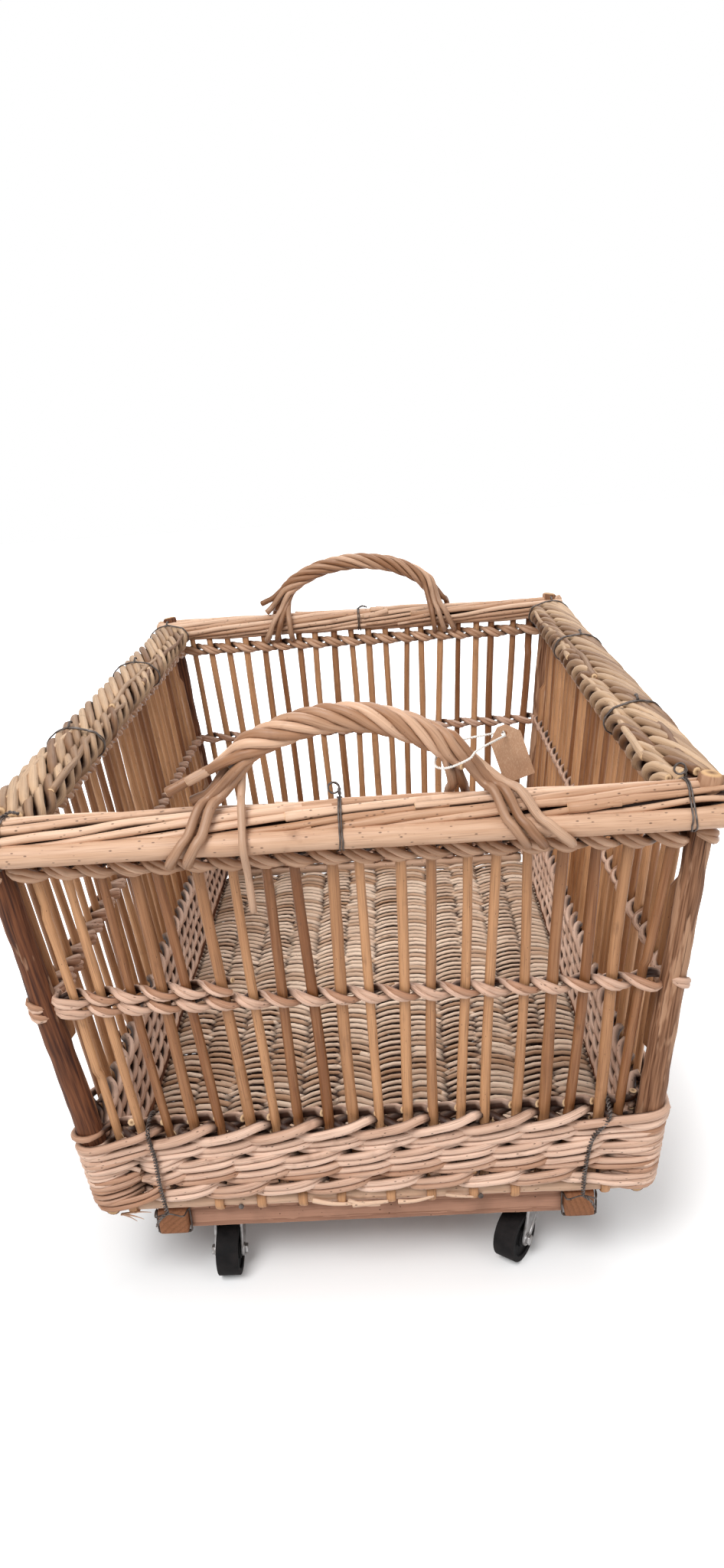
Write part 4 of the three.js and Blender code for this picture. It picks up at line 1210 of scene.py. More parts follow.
@dataclass
class Base:
    """The woven floor between four thick sticks, with the stakes' feet looped under the end ones.

    Attributes:
        ribs: Lengthwise sticks in the floor.
        weaver_radius: Radius of the cross weavers.
        weaver_flat: Their thickness as a share of their width.
        weaver_pitch: Distance from one weaver to the next.
        loop_pitch: Distance between the loops over an end stick.
        stick_lift: How far the base sticks stand above their solids' middles.
        chewed: Rods under the front: place, run, drop, fall and radius, in millimetres.
        splinters: At the left corner: run, fall and radius, in millimetres.
    """

    ribs: int = 12
    rib_radius: float = 2.4 * MM
    weaver_radius: float = 3.5 * MM
    weaver_flat: float = 0.74
    weaver_pitch: float = 5.6 * MM
    loop_pitch: float = 41 * MM
    stick_radius: float = 8.3 * MM
    stick_lift: float = 1.6 * MM
    chewed: tuple = ((-58, 38, 2, -6, 3.1), (-20, 34, -5, 2, 3.4), (-24, 30, 0, -7, 2.4),
                     (24, 34, -4, 5, 2.6), (70, 26, 2, -4, 2.2))
    splinters: tuple = ((22, -6, 1.5), (15, -8, 1.1), (30, 2, 1.8))
    nails: tuple = (-128 * MM, 103 * MM)

    def sticks(self) -> None:
        """Lays the four base sticks."""
        for seed, side in enumerate(("front", "back", "left", "right"), 70):
            box = solid(f"base_stick_{side}")
            axis, finish, slot = ((0, Finish.PEELED, "peeled_willow") if side in dict(ENDS)
                                  else (1, Finish.DARK_BARK, "bark_willow"))
            stock = RodStock(f"foot_stick_{side}", finish, 16, seed)
            reach = box.half[axis] - 4 * MM
            bend = stock.wander(0.8 * MM, 60, 12)
            points = np.zeros((60, 3))
            points[:, axis] = np.linspace(-reach, reach, 60)
            points[:, 1 - axis] = bend[:, 0] + box.middle[1 - axis]
            points[:, 2] = bend[:, 1] * 0.3 + (box.middle.z + self.stick_lift)
            stock.lay(points, self.stick_radius * 0.97, self.stick_radius * 0.95, tint=0.35)
            stock.settle(slot, f"base_stick_{side}")

    def floor(self) -> None:
        """Weaves the floor: rows of cross weavers that pass over and under the ribs by turns."""
        low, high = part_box("floor_weave")
        level = (low.z + high.z) / 2
        pitch = (high.x - low.x) / self.ribs
        stock = RodStock("woven_floor", Finish.FLOOR, 6, 80)
        random = stock.random
        y = np.linspace(low.y + MM, high.y - MM, 40)
        for i in range(self.ribs):
            stray = eased(random.normal(0, 1.5 * MM, 40), 8)
            x = low.x + (i + 0.5) * pitch + stray
            # Painted shade: the ribs under the weavers get a dark tint and much painted shade.
            stock.lay(line_of(x, y, level), self.rib_radius, tint=0.8, gloom=0.9)
        rows = int((high.y - low.y) / self.weaver_pitch)
        reach = self.rib_radius + self.weaver_radius * self.weaver_flat
        waves = 4.8 * MM * np.resize([-1, 1], self.ribs + 1) + random.normal(0, 1.2 * MM, self.ribs + 1)
        for row in range(rows):
            joint = random.uniform(0.15, 0.85) if random.random() < 0.7 else 1.0
            calm = min(1.0, (min(row, rows - 1 - row) + 0.3) / 4)
            for first, last in [(0.0, joint + 0.03), (joint - 0.03, 1.0)] if joint < 1 else [(0.0, 1.0)]:
                share = np.linspace(first, min(last, 1.0), max(8, int((last - first) * self.ribs * 4)))
                x = low.x - 6 * MM + share * (high.x - low.x + 12 * MM)
                swing = np.sin(math.pi * ((x - low.x) / pitch + row))
                lift = reach * np.sign(swing) * np.abs(swing) ** 0.6
                stray = eased(random.normal(0, MM, len(x)), 3)
                wave = calm * np.interp(share, np.linspace(0, 1, len(waves)), waves)
                y = low.y + (row + 0.5) * self.weaver_pitch + calm * stray + wave
                y = np.clip(y, low.y + 1.5 * MM, high.y - 1.5 * MM)
                # Painted shade where each weaver dips under a rib, on the side turned away from its lit side.
                up = np.clip(1.6 * lift / reach, -1, 1)
                thick = self.weaver_radius * random.uniform(0.86, 1.1)
                thin = thick * random.uniform(0.84, 0.97)
                stock.lay(line_of(x, y, level + lift), thick, thin, flat=self.weaver_flat, lean=UP,
                          face=up[:, None] * UP, gloom=np.clip(0.2 - up, 0, 0.9))
        stock.settle("floor_willow", "floor_weave")

    def loops(self) -> None:
        """Loops the feet of the stakes over the end sticks, clear of the rails."""
        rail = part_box("rail_right")
        gap = self.stick_radius + 1.7 * MM
        turns = np.radians([72, 45, 15, -15, -45, -75, -100])
        for side, sign in ENDS:
            box = solid(f"base_stick_{side}")
            y, z = box.middle.y, box.middle.z + self.stick_lift
            stock = RodStock(f"stake_feet_{side}", Finish.STAKE, 8, 84 + sign)
            for x in np.arange(box.low.x + 12 * MM, box.high.x - 8 * MM, self.loop_pitch):
                x = x + stock.random.normal(0, 2 * MM)
                if rail[0].x - 6 * MM < abs(x) < rail[1].x + 6 * MM:
                    continue
                path = [(x + stock.random.normal(0, 2 * MM), y + sign * 9 * MM, z + 24 * MM)]
                path += [(x, y + sign * gap * math.cos(t), z + gap * math.sin(t)) for t in turns]
                stock.lay(curved(path, 4 * MM), 4.7 * MM, 4.2 * MM, flat=0.34,
                          tint=stock.random.uniform(0, 0.35), lean=np.array([0.0, sign, 0.0]))
            stock.settle("stake_willow")

    def frayed(self) -> None:
        """Lays the chewed rods under the front of the band and the splinters at its left corner."""
        stick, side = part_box("base_stick_front"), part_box("base_stick_left")
        y, z = stick[0].y - 0.5 * MM, (stick[0].z + stick[1].z) / 2
        stock = RodStock("frayed_rods", Finish.PEELED, 7, 88)
        at = np.linspace(0, 1, 9)
        bow = np.sin(math.pi * at)
        front = np.array([0.0, -1.0, 0.0])
        for x, run, drop, fall, thick in self.chewed:
            level = z + (drop + fall * at) * MM + 2 * MM * bow * stock.random.uniform(-1, 1)
            points = line_of((x + run * at) * MM, y - MM * bow, level)
            stock.lay(points, thick * MM, thick * 0.55 * MM, flat=0.6, tint=0.0, lean=front)
        root = np.array([side[1].x - 3 * MM, side[0].y + 3 * MM, side[0].z + 5 * MM])
        at = np.linspace(0, 1, 8)[:, None]
        for ahead, fall, thick in self.splinters:
            points = root + at * np.array([ahead, -1.5, fall]) * MM + np.sin(3 * at) * 1.5 * MM * UP
            stock.lay(points, thick * MM, 0.3 * MM, flat=0.5, tint=0.6)
        stock.settle("peeled_willow")

    def nail_heads(self) -> None:
        """Drives two nails into the front stick."""
        low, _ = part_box("base_stick_front")
        bench = Workbench("stick_nails", Finish.IRON)
        heads = []
        for x in self.nails:
            head = bench.drum(2.6 * MM, 2 * MM, (0, 0, 0), "Z", 14, 0.8 * MM, 3)
            place = Matrix.Translation((x, low.y + 0.6 * MM, low.z + 7.5 * MM))
            head.data.transform(place @ Matrix.Rotation(math.pi / 2 - 0.3, 4, "X"))
            heads.append(head)
        settle(bench.finished(*heads), BODY, "iron_wire")

    def build(self) -> None:
        """Builds the base."""
        self.sticks()
        self.floor()
        self.loops()
        self.frayed()
        self.nail_heads()


@dataclass
class Rim:
    """The rim: a bundle of peeled rods and a thick stick at each end, a plait along each side.

    Attributes:
        tracks: Rods side by side round a bundle.
        lay: Turn of the rods about the bundle along it.
        plait_radius: Radius of a strand of the plait.
        plait_pitch: Distance from one strand to the next.
        rising: The stroke up the inner edge: places across and up, in half sizes, and along, in pitches.
        crossing: The stroke over to the outer edge, in the same way.
        cores: Dark rods inside it: places across and up, and radius.
        strays: Loose rods on top of it: start and run in millimetres, places across and up.
    """

    rod_radius: float = 4.2 * MM
    tracks: int = 12
    lay: float = 4.2
    plait_radius: float = 5.2 * MM
    plait_pitch: float = 29.5 * MM
    rising: tuple = ((-0.7, -0.95, -0.35), (-0.97, -0.55, -0.12), (-1.0, 0.05, 0.05), (-0.86, 0.52, 0.4),
                     (-0.62, 0.66, 1.05), (-0.4, 0.45, 1.7), (-0.2, 0.05, 2.3), (0.0, -0.3, 3.0))
    crossing: tuple = ((-0.38, -0.25, 1.9), (-0.4, 0.35, 2.02), (-0.32, 0.82, 2.3), (-0.1, 1.02, 2.95),
                       (0.2, 1.06, 3.8), (0.5, 0.88, 4.7), (0.78, 0.5, 5.6), (0.97, -0.05, 6.35),
                       (0.93, -0.6, 6.8), (0.55, -0.95, 7.3))
    # cores: Rods inside it, painted dark as shade: places across and up, and radius.
    cores: tuple = ((-0.55, -0.3, 9 * MM), (0.0, -0.15, 11 * MM), (0.5, -0.2, 10 * MM))
    strays: tuple = ((-330, 300, -0.86, 0.62), (-60, 260, -0.6, 0.9), (60, 290, -0.9, 0.55),
                     (-360, 240, 0.1, 1.1))

    def bundle(self, side: str, sign: int) -> None:
        """Lays the bundle of rods at one end.

        Args:
            side: Which end.
            sign: Its outward direction along Y.
        """
        box = solid(f"rim_{side}")
        centre = box.middle
        reach = box.half[0] - 1.5 * MM
        depth, height = (half - self.rod_radius for half in box.half[1:])
        stock = RodStock(f"rim_bundle_{side}", Finish.PEELED, 8, 90 + sign)
        random = stock.random

        def around(x: Array, turn: float, share: Array | float) -> Array:
            """Returns points on the bundle at an angle that grows along it."""
            angle = turn + self.lay / 2 * x / reach * -sign
            return line_of(x, centre.y + share * depth * np.cos(angle) * sign,
                           centre.z + share * height * np.sin(angle))

        x = np.linspace(-reach, reach, 50)
        for k in range(4):
            # Painted shade: the core rods inside the bundle get the darkest tint and full painted shade.
            stock.lay(around(x, math.pi / 2 * k, 0.42), 6.2 * MM, tint=1.0, gloom=1.0)
        for k in range(self.tracks):
            turn = FULL_TURN * (k + random.uniform(-0.12, 0.12)) / self.tracks
            start = -reach
            while start < reach - 60 * MM:
                end = min(start + random.uniform(260, 430) * MM, reach)
                end = reach if reach - end < 90 * MM else end
                x = np.linspace(start, end, max(16, int((end - start) / (9 * MM))))
                share = 1 + 0.13 * np.exp(-((x - start) / (16 * MM)) ** 2) * (start > -reach)
                stray = eased(random.normal(0, 1.6 * MM, (len(x), 3)), 8)
                points = around(x, turn, share) + stray * [0, 1, 1]
                butt = self.rod_radius * random.uniform(0.95, 1.12)
                tip = self.rod_radius * random.uniform(0.5, 0.75)
                butt, tip = (tip, butt) if random.random() < 0.3 else (butt, tip)
                # Painted shade on each rod's side turned into the bundle.
                stock.lay(points, butt, tip, face=(points - centre) * [0, 1 / depth, 1 / height])
                start = end - random.uniform(25, 60) * MM if end < reach else end
        stock.settle("peeled_willow", f"rim_{side}")

    def stick(self, side: str) -> None:
        """Lays the thick peeled stick outside a bundle."""
        box = solid(f"rim_stick_{side}")
        stock = RodStock(f"rim_pole_{side}", Finish.PEELED, 18, 95)
        x = np.linspace(box.low.x + MM, box.high.x - MM, 80)
        bend = stock.wander(0.8 * MM, 80, 14)
        points = line_of(x, box.middle.y + bend[:, 0], box.middle.z + bend[:, 1])
        stock.lay(points, box.half[2] * 0.98, box.half[2] * 0.93, tint=0.5)
        stock.settle("peeled_willow", f"rim_stick_{side}")

    def plait(self, side: str, sign: int) -> None:
        """Plaits one side: each strand rises at the inner edge, dips, and crosses to the outer one.

        Args:
            side: Which side.
            sign: Its outward direction along X.
        """
        box = solid(f"rim_{side}")
        low, high, centre = box.low, box.high, box.middle
        half, _, tall = box.half
        r = self.plait_radius
        stock = RodStock(f"rim_plait_{side}", Finish.PLAIT, 10, 100 + sign)
        random = stock.random

        def strand(stroke: tuple, start: float) -> None:
            """Lays one stroke of a strand."""
            nudge = random.normal(0, 0.035)
            across = [sign * np.clip(c + nudge, -1, 1) * (half - r) for c, _, _ in stroke]
            path = [(centre.x + x, start - sign * run * self.plait_pitch, centre.z + h * (tall - r) * 0.96)
                    for x, (_, h, run) in zip(across, stroke)]
            route = curved(path, 4.5 * MM)
            route = route[(route[:, 1] > low.y + r) & (route[:, 1] < high.y - r)]
            if len(route) > 3:
                thick = r * random.uniform(0.86, 1.04)
                # Painted shade on each strand's side turned into the plait.
                face = 1.35 * (route - centre) * [1 / (half - r), 0, 1 / (tall - r)]
                stock.lay(route, thick, thick * random.uniform(0.84, 0.96), face=face)

        for k in range(int((high.y - low.y) / self.plait_pitch) + 9):
            start = -sign * (low.y + (k - 7.9) * self.plait_pitch) + random.normal(0, 1.3 * MM)
            strand(self.rising, start)
            strand(self.crossing, start)
        y = np.linspace(low.y + MM, high.y - MM, 60)
        for c, h, thick in self.cores:
            points = line_of(centre.x + sign * c * half * 0.7, y, centre.z + h * tall)
            # Painted shade: the core rods get the darkest tint and full painted shade.
            stock.lay(points, thick, tint=1.0, gloom=1.0)
        for first, run, c, h in self.strays:
            y = np.linspace(first, first + run, 34) * MM
            drift = c + 0.12 * np.sin(y * 21 + c * 9)
            z = centre.z + h * (tall - r) + 1.2 * MM * np.sin(y * 60)
            stock.lay(line_of(centre.x + sign * drift * (half - r), y, z), 3.9 * MM, 2.3 * MM)
        stock.settle("peeled_willow", f"rim_{side}")

    def build(self) -> None:
        """Builds the rim."""
        for side, sign in ENDS:
            self.bundle(side, sign)
            self.stick(side)
        for side, sign in SIDES:
            self.plait(side, sign)


class Foot(Enum):
    """How a strand of a handle ends at the rim."""

    OVER = "over the rim, round the stick and tucked under it"
    DOWN = "over the rim and down in front of the fitch"
    TOP = "cut off on top of the bundle"
    FREE = "cut off above the bundle"
    BACK = "down behind the bundle"


@dataclass
class Handle:
    """A rope of twisted rods in an arch, whose ends part and wrap over the rim.

    Attributes:
        sign: Its outward direction along Y.
        strands: Rods round the core.
        turns: Turns of the rope over the arch.
        arch: The rope's middle line from left to right, across and above the rim, in millimetres.
        feet: How each strand ends at the left foot and at the right, with its sideways reach in millimetres.
    """

    side: str
    sign: int
    strands: int = 6
    strand_radius: float = 4.3 * MM
    rope_radius: float = 12.5 * MM
    turns: float = 2.0
    arch: tuple = ((-114, 25), (-101, 41), (-79, 55), (-47, 67), (0, 72.5),
                   (47, 67), (79, 55), (101, 41), (114, 25))
    feet: tuple = (
        ((Foot.OVER, -30), (Foot.FREE, -30), (Foot.TOP, -22), (Foot.BACK, -30), (Foot.BACK, -20),
         (Foot.BACK, 4)),
        ((Foot.OVER, 22), (Foot.OVER, 32), (Foot.BACK, 26), (Foot.BACK, 17), (Foot.BACK, 8), (Foot.FREE, 8)),
    )

    def __post_init__(self) -> None:
        """Reads the rim that the handle wraps."""
        rim, pole = solid(f"rim_{self.side}"), solid(f"rim_stick_{self.side}")
        self.rim_top = rim.high.z
        self.middle_y = rim.middle.y
        _, self.depth, self.height = rim.half
        self.pole = pole.middle
        self.pole_radius = pole.half[2]

    def rope(self) -> Array:
        """Returns evenly spaced points of the rope's middle line."""
        points = [(x * MM, self.middle_y, self.rim_top + z * MM) for x, z in self.arch]
        return spaced(curved(points, 2 * MM), 2 * MM)

    def foot(self, kind: Foot, reach: float, start: Array) -> list:
        """Returns the points of a strand from the rope's end to where it is tucked or cut.

        Args:
            kind: How it ends.
            reach: How far it goes sideways, in millimetres.
            start: The rope's end.
        """
        r, out, side = self.strand_radius, self.sign, reach * MM
        x, y, top = float(start[0]), self.middle_y, self.rim_top
        if kind is Foot.FREE:
            return [(x + k * side, y + out * 6 * MM * k, start[2] - 0.45 * k * abs(side))
                    for k in (0.35, 0.7, 1.0)]
        if kind is Foot.TOP:
            steps = ((0.5, 2, 3.2), (0.85, 5, 1.5), (1.0, 6, 0.9))
            return [(x + k * side, y - out * back * MM, top + up * r) for k, back, up in steps]
        if kind is Foot.BACK:
            inner = y - out * (self.depth + 1.0 * r)
            steps = ((0.5, 0, 0.4), (0.8, 0, 1.5), (0.95, 4, 2.0), (1.0, 11, 2.3))
            path = [(x + 0.2 * side, y - out * 0.6 * self.depth, top + 1.3 * r)]
            return path + [(x + k * side, inner + out * ahead * MM, top - down * self.height)
                           for k, ahead, down in steps]
        around = self.pole_radius + r + 0.3 * MM
        turns = (58, 20, -15) if kind is Foot.DOWN else (62, 32, 2, -28, -58, -88, -112)
        path = [(x + 0.34 * side, y + out * 0.2 * self.depth, top + 2.4 * r),
                (x + 0.52 * side, y + out * 0.68 * self.depth, top + 1.0 * r)]
        for i, angle in enumerate(np.radians(turns)):
            share = 0.58 + 0.42 * min(1.0, (i + 1) / min(len(turns), 4.5))
            path.append((x + share * side, self.pole.y + out * around * math.cos(angle),
                         self.pole.z + around * math.sin(angle)))
        if kind is Foot.DOWN:
            path += [(x + 1.1 * side, self.pole.y + out * 6 * MM, self.pole.z - 24 * MM),
                     (x + 1.3 * side, self.pole.y + out * 0.5 * MM, self.pole.z - 60 * MM)]
        return path

    def build(self) -> None:
        """Builds the handle."""
        stock = RodStock(f"roped_handle_{self.side}", Finish.HANDLE, 10, 110 + self.sign)
        line = self.rope()
        tangents = np.gradient(line, axis=0)
        tangents /= np.linalg.norm(tangents, axis=1)[:, None]
        across = np.array([0.0, 1.0, 0.0])
        normals = np.cross(tangents, across)
        ring = self.rope_radius - self.strand_radius
        share = np.linspace(0, 1, len(line))
        for k, ends in enumerate(zip(*self.feet)):
            twist = FULL_TURN * (k / self.strands + self.turns * share)
            coil = line + ring * (np.cos(twist)[:, None] * across + np.sin(twist)[:, None] * normals)
            left, right = self.foot(*ends[0], coil[0]), self.foot(*ends[1], coil[-1])
            route = curved([*left[::-1], *coil[4:-4:4], *right], 4 * MM)
            thick = self.strand_radius * stock.random.uniform(0.95, 1.05)
            nearest = np.linalg.norm(route[:, None, :] - line[None, :, :], axis=2).argmin(axis=1)
            within = eased(((nearest > 0) & (nearest < len(line) - 1)).astype(float), 4)
            # Painted shade on each strand's side turned into the rope, and the feet outside the rope a little
            # darker.
            face = 1.35 * np.clip((route - line[nearest]) / ring, -1, 1) * within[:, None]
            butt, tip = (0.72, 1.0) if Foot.DOWN in (ends[0][0], ends[1][0]) else (1.0, 0.93)
            stock.lay(route, thick * butt, thick * tip, face=face, gloom=0.27 * (1 - within))
        # Painted shade: the core inside the rope gets the darkest tint and full painted shade.
        stock.lay(spaced(line, 6 * MM), ring * 0.8, tint=1.0, gloom=1.0)
        stock.settle("peeled_willow", f"handle_{self.side}")


FRONT_ARCH = ((-84, 33), (-66, 50), (-27, 64.5), (0, 68), (22, 67.5), (48, 61), (74, 49), (97, 33))
FRONT_FEET = (
    ((Foot.TOP, -36), (Foot.FREE, -31), (Foot.FREE, -48), (Foot.OVER, -54), (Foot.OVER, -45), (Foot.DOWN, 2)),
    ((Foot.BACK, 10), (Foot.OVER, 80), (Foot.OVER, 58), (Foot.OVER, 49), (Foot.FREE, 6), (Foot.BACK, -8)),
)


# Rigid pieces


@dataclass
class Workbench:
    """Shapes one rigid piece with Blender's own modelling tools."""

    name: str
    finish: Finish

    def take(self, edge: float = 0.0, segments: int = 2) -> Piece:
        """Puts the new primitive's place into its mesh, rounds its edges and returns it."""
        piece = bpy.context.object
        bpy.ops.object.transform_apply(location=True, rotation=True, scale=True)
        if edge:
            self.round_off(piece, edge, segments)
        return piece

    def block(self, low: Vector, high: Vector, edge: float = 0.0, segments: int = 2) -> Piece:
        """Adds a block.

        Args:
            low: Its lowest corner.
            high: Its highest corner.
            edge: Radius of its edges.
            segments: Steps round an edge.

        Returns:
            The block.
        """
        deselect_all()
        bpy.ops.mesh.primitive_cube_add(size=1.0, location=(low + high) / 2)
        bpy.context.object.scale = high - low
        return self.take(edge, segments)

    def drum(self, radius: float, depth: float, centre: Sequence[float], axis: str, sides: int,
             edge: float = 0.0, segments: int = 2) -> Piece:
        """Adds a drum.

        Args:
            radius: Its radius.
            depth: Its length.
            centre: Its middle.
            axis: The axis it stands along, X or Z.
            sides: Faces round it.
            edge: Width of its rounded edges.
            segments: Steps round an edge.

        Returns:
            The drum.
        """
        deselect_all()
        turn = (0.0, math.pi / 2 if axis == "X" else 0.0, 0.0)
        bpy.ops.mesh.primitive_cylinder_add(vertices=sides, radius=radius, depth=depth, location=centre,
                                            rotation=turn)
        return self.take(edge, segments)

    @staticmethod
    def pick(piece: Piece, wanted: Callable[[bpy.types.MeshPolygon], bool]) -> None:
        """Enters edit mode with the wanted faces selected."""
        activate(piece)
        switch("EDIT")
        bpy.ops.mesh.select_mode(type="FACE")
        bpy.ops.mesh.select_all(action="DESELECT")
        switch("OBJECT")
        for face in piece.data.polygons:
            face.select = wanted(face)
        switch("EDIT")

    @staticmethod
    def step(width: float, rise: float = 0.0) -> None:
        """Insets the selected faces and pushes them out by the rise, or in where it is negative."""
        bpy.ops.mesh.inset(thickness=width, depth=0.0)
        if rise:
            bpy.ops.mesh.extrude_region_shrink_fatten(TRANSFORM_OT_shrink_fatten={"value": rise})

    @staticmethod
    def slice_up(middle: Sequence[float], normal: Sequence[float]) -> None:
        """Cuts everything in edit mode along one plane."""
        bpy.ops.mesh.select_all(action="SELECT")
        bpy.ops.mesh.bisect(plane_co=middle, plane_no=normal)

    @staticmethod
    def round_off(piece: Piece, width: float, segments: int = 2, angle: float = 35.0) -> None:
        """Rounds the sharp edges with a bevel.

        Args:
            piece: What is rounded.
            width: Width of the bevel.
            segments: Its steps.
            angle: The least angle of a sharp edge.
        """
        switch("OBJECT")
        deselect_all()
        piece.select_set(True)
        activate(piece)
        bevel = piece.modifiers.new("edges", "BEVEL")
        bevel.width = width
        bevel.segments = segments
        bevel.limit_method = "ANGLE"
        bevel.angle_limit = math.radians(angle)
        bpy.ops.object.modifier_apply(modifier=bevel.name)

    def finished(self, *parts: Piece, angle: float = 40.0) -> Piece:
        """Joins the parts into the piece, smooths it and dresses it."""
        deselect_all()
        for part in parts:
            part.select_set(True)
        activate(parts[0])
        if len(parts) > 1:
            bpy.ops.object.join()
        bpy.ops.object.shade_smooth_by_angle(angle=math.radians(angle))
        return adopt(bpy.context.object, self.name, self.finish.material)


@dataclass
class Trolley:
    """The wooden frame: two rails and two boards with worn edges.

    Attributes:
        edge: Width of a rail's worn corners.
        cuts: How many times a timber's length is divided, to let its edges wander.
        wear: How far its faces wander.
    """

    edge: float = 3.2 * MM
    cuts: int = 40
    wear: float = 0.35 * MM

    def timber(self, node: str, finish: Finish, axis: int, edge: float, seed: int) -> Piece:
        """Saws one timber and wears its edges.

        Args:
            node: The solid that it stands for.
            finish: Its finish.
            axis: The axis that it runs along, 0 for X and 1 for Y.
            edge: Width of its worn corners.
            seed: Seed of the wear.

        Returns:
            The piece.
        """
        bench = Workbench(f"sawn_{node}", finish)
        inset = Vector((self.wear,) * 3)
        low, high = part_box(node)
        piece = bench.block(low + inset, high - inset)
        bench.round_off(piece, edge, 3, 60)
        switch("EDIT")
        normal = np.eye(3)[axis]
        for cut in range(1, self.cuts):
            bench.slice_up(normal * (low[axis] + (high[axis] - low[axis]) * cut / self.cuts), normal)
        bpy.ops.mesh.select_all(action="SELECT")
        bpy.ops.transform.vertex_random(offset=self.wear, uniform=1.0, normal=0.0, seed=seed)
        bpy.ops.mesh.vertices_smooth(factor=0.35, repeat=1)
        switch("OBJECT")
        return bench.finished(piece, angle=50)

    def build(self) -> None:
        """Builds the frame."""
        rail, board = (Finish.RAIL_PINE, 1, self.edge), (Finish.BOARD_PINE, 0, self.edge / 2)
        timbers = {"rail_left": rail, "rail_right": rail, "board_front": board, "board_back": board}
        for seed, (node, timber) in enumerate(timbers.items(), 3):
            settle(self.timber(node, *timber, seed), BODY, "pine", node)


@dataclass
class Caster:
    """A swivel caster, modelled upright at the origin with its wheel towards -Y.

    Attributes:
        height: Height of the mounting plate's top.
        trail: How far the axle stands off the swivel's axis.
        fork_half: Half the inner width of the fork.
        crown_half: Half the length of the fork's crown.
        crown_drop: How far its top lies below the mounting plate's.
        mount_half: Half the side of the mounting plate.
        screw_at: Distance of the screws from the middle, along X and Y.
    """

    height: float = 67.7 * MM
    trail: float = 24 * MM
    wheel_radius: float = 25 * MM
    wheel_width: float = 22 * MM
    axle_z: float = 24.6 * MM
    plate: float = 2.5 * MM
    fork_half: float = 12.0 * MM
    crown_half: float = 16 * MM
    crown_drop: float = 7.8 * MM
    mount_half: float = 29.8 * MM
    screw_at: float = 23 * MM
    angles: tuple = (0, -35, 24, -150)

    def wheel(self) -> Piece:
        """Moulds the wheel: rounded tread, dished sides and a hub."""
        bench = Workbench("wheel_pattern", Finish.WHEEL)
        axle = (0, -self.trail, self.axle_z)
        tyre = bench.drum(self.wheel_radius - 0.2 * MM, self.wheel_width, axle, "X", 48)
        bench.pick(tyre, lambda face: abs(face.normal.x) > 0.9)
        bench.step(5.2 * MM)
        bench.step(0.8 * MM, -2.4 * MM)
        bench.step(8.6 * MM)
        bench.step(0.6 * MM, 2.6 * MM)
        bench.round_off(tyre, 1.5 * MM, 3, 50)
        tread = tyre.data.attributes.new("tread", "FLOAT", "POINT")
        for corner in tyre.data.vertices:
            away = math.hypot(corner.co.y + self.trail, corner.co.z - self.axle_z)
            tread.data[corner.index].value = 1.0 if away > self.wheel_radius - 1.2 * MM else 0.0
        return bench.finished(tyre)

    def fork(self) -> Piece:
        """Presses the fork: a crown under the race and two legs that sweep back to the axle."""
        bench = Workbench("fork_pattern", Finish.ZINC)
        top, long = self.height - self.crown_drop, self.crown_half
        outer = self.fork_half + self.plate
        parts = []
        for side in (-1, 1):
            middle = side * (self.fork_half + self.plate / 2)
            lug = bench.drum(7 * MM, self.plate, (middle, -self.trail, self.axle_z), "X", 24)
            low = Vector((middle - self.plate / 2, -long, top - 6 * MM))
            cheek = bench.block(low, Vector((middle + self.plate / 2, long, top)))
            lug.select_set(True)
            activate(cheek)
            bpy.ops.object.join()
            switch("EDIT")
            bpy.ops.mesh.select_all(action="SELECT")
            bpy.ops.mesh.convex_hull()
            bpy.ops.mesh.dissolve_limited(angle_limit=math.radians(1))
            switch("OBJECT")
            bench.pick(cheek, lambda face, s=side: face.normal.x * s > 0.9)
            bench.step(3.4 * MM)
            bench.step(MM, -0.7 * MM)
            bench.round_off(cheek, 0.5 * MM)
            parts.append(cheek)
        low = Vector((-outer, -long, top - self.plate))
        crown = bench.block(low, Vector((outer, long, top)), 1.1 * MM, 3)
        return bench.finished(*parts, crown)

    def bolt(self) -> Piece:
        """Makes the axle bolt with its hexagonal head, washers and nut."""
        bench = Workbench("bolt_pattern", Finish.ZINC)
        reach = self.fork_half + self.plate
        at = (-self.trail, self.axle_z)
        parts = [bench.drum(2.9 * MM, 2 * reach + 7.4 * MM, (0.4 * MM, *at), "X", 20)]
        for side in (-1, 1):
            washer = bench.drum(6.2 * MM, 0.9 * MM, (side * (reach + 0.5 * MM), *at), "X", 24)
            nut = bench.drum(5.4 * MM, 3.0 * MM, (side * (reach + 2.5 * MM), *at), "X", 6, 0.5 * MM)
            parts += [washer, nut]
        return bench.finished(*parts)

    def mounting(self) -> Piece:
        """Makes the mounting plate with its ball race, kingpin and screws."""
        bench = Workbench("mounting_pattern", Finish.ZINC)
        top, half = self.height, self.mount_half
        sheet = bench.block(Vector((-half, -half, top - 2.5 * MM)), Vector((half, half, top)), 0.8 * MM)
        race = bench.drum(18 * MM, 5 * MM, (0, 0, top - 5 * MM), "Z", 40)
        bench.pick(race, lambda face: face.normal.z < -0.9)
        bench.step(3.0 * MM, -MM)
        bench.round_off(race, 1.3 * MM, 3)
        rivet = bench.drum(6.8 * MM, 2.4 * MM, (0, 0, top - 11.8 * MM), "Z", 24, MM, 3)
        parts = [sheet, race, rivet]
        for y in (-self.screw_at, self.screw_at):
            for x in (-self.screw_at, self.screw_at):
                parts.append(bench.drum(4.2 * MM, 2.0 * MM, (x, y, top - 3.2 * MM), "Z", 16, 0.8 * MM, 3))
        return bench.finished(*parts)

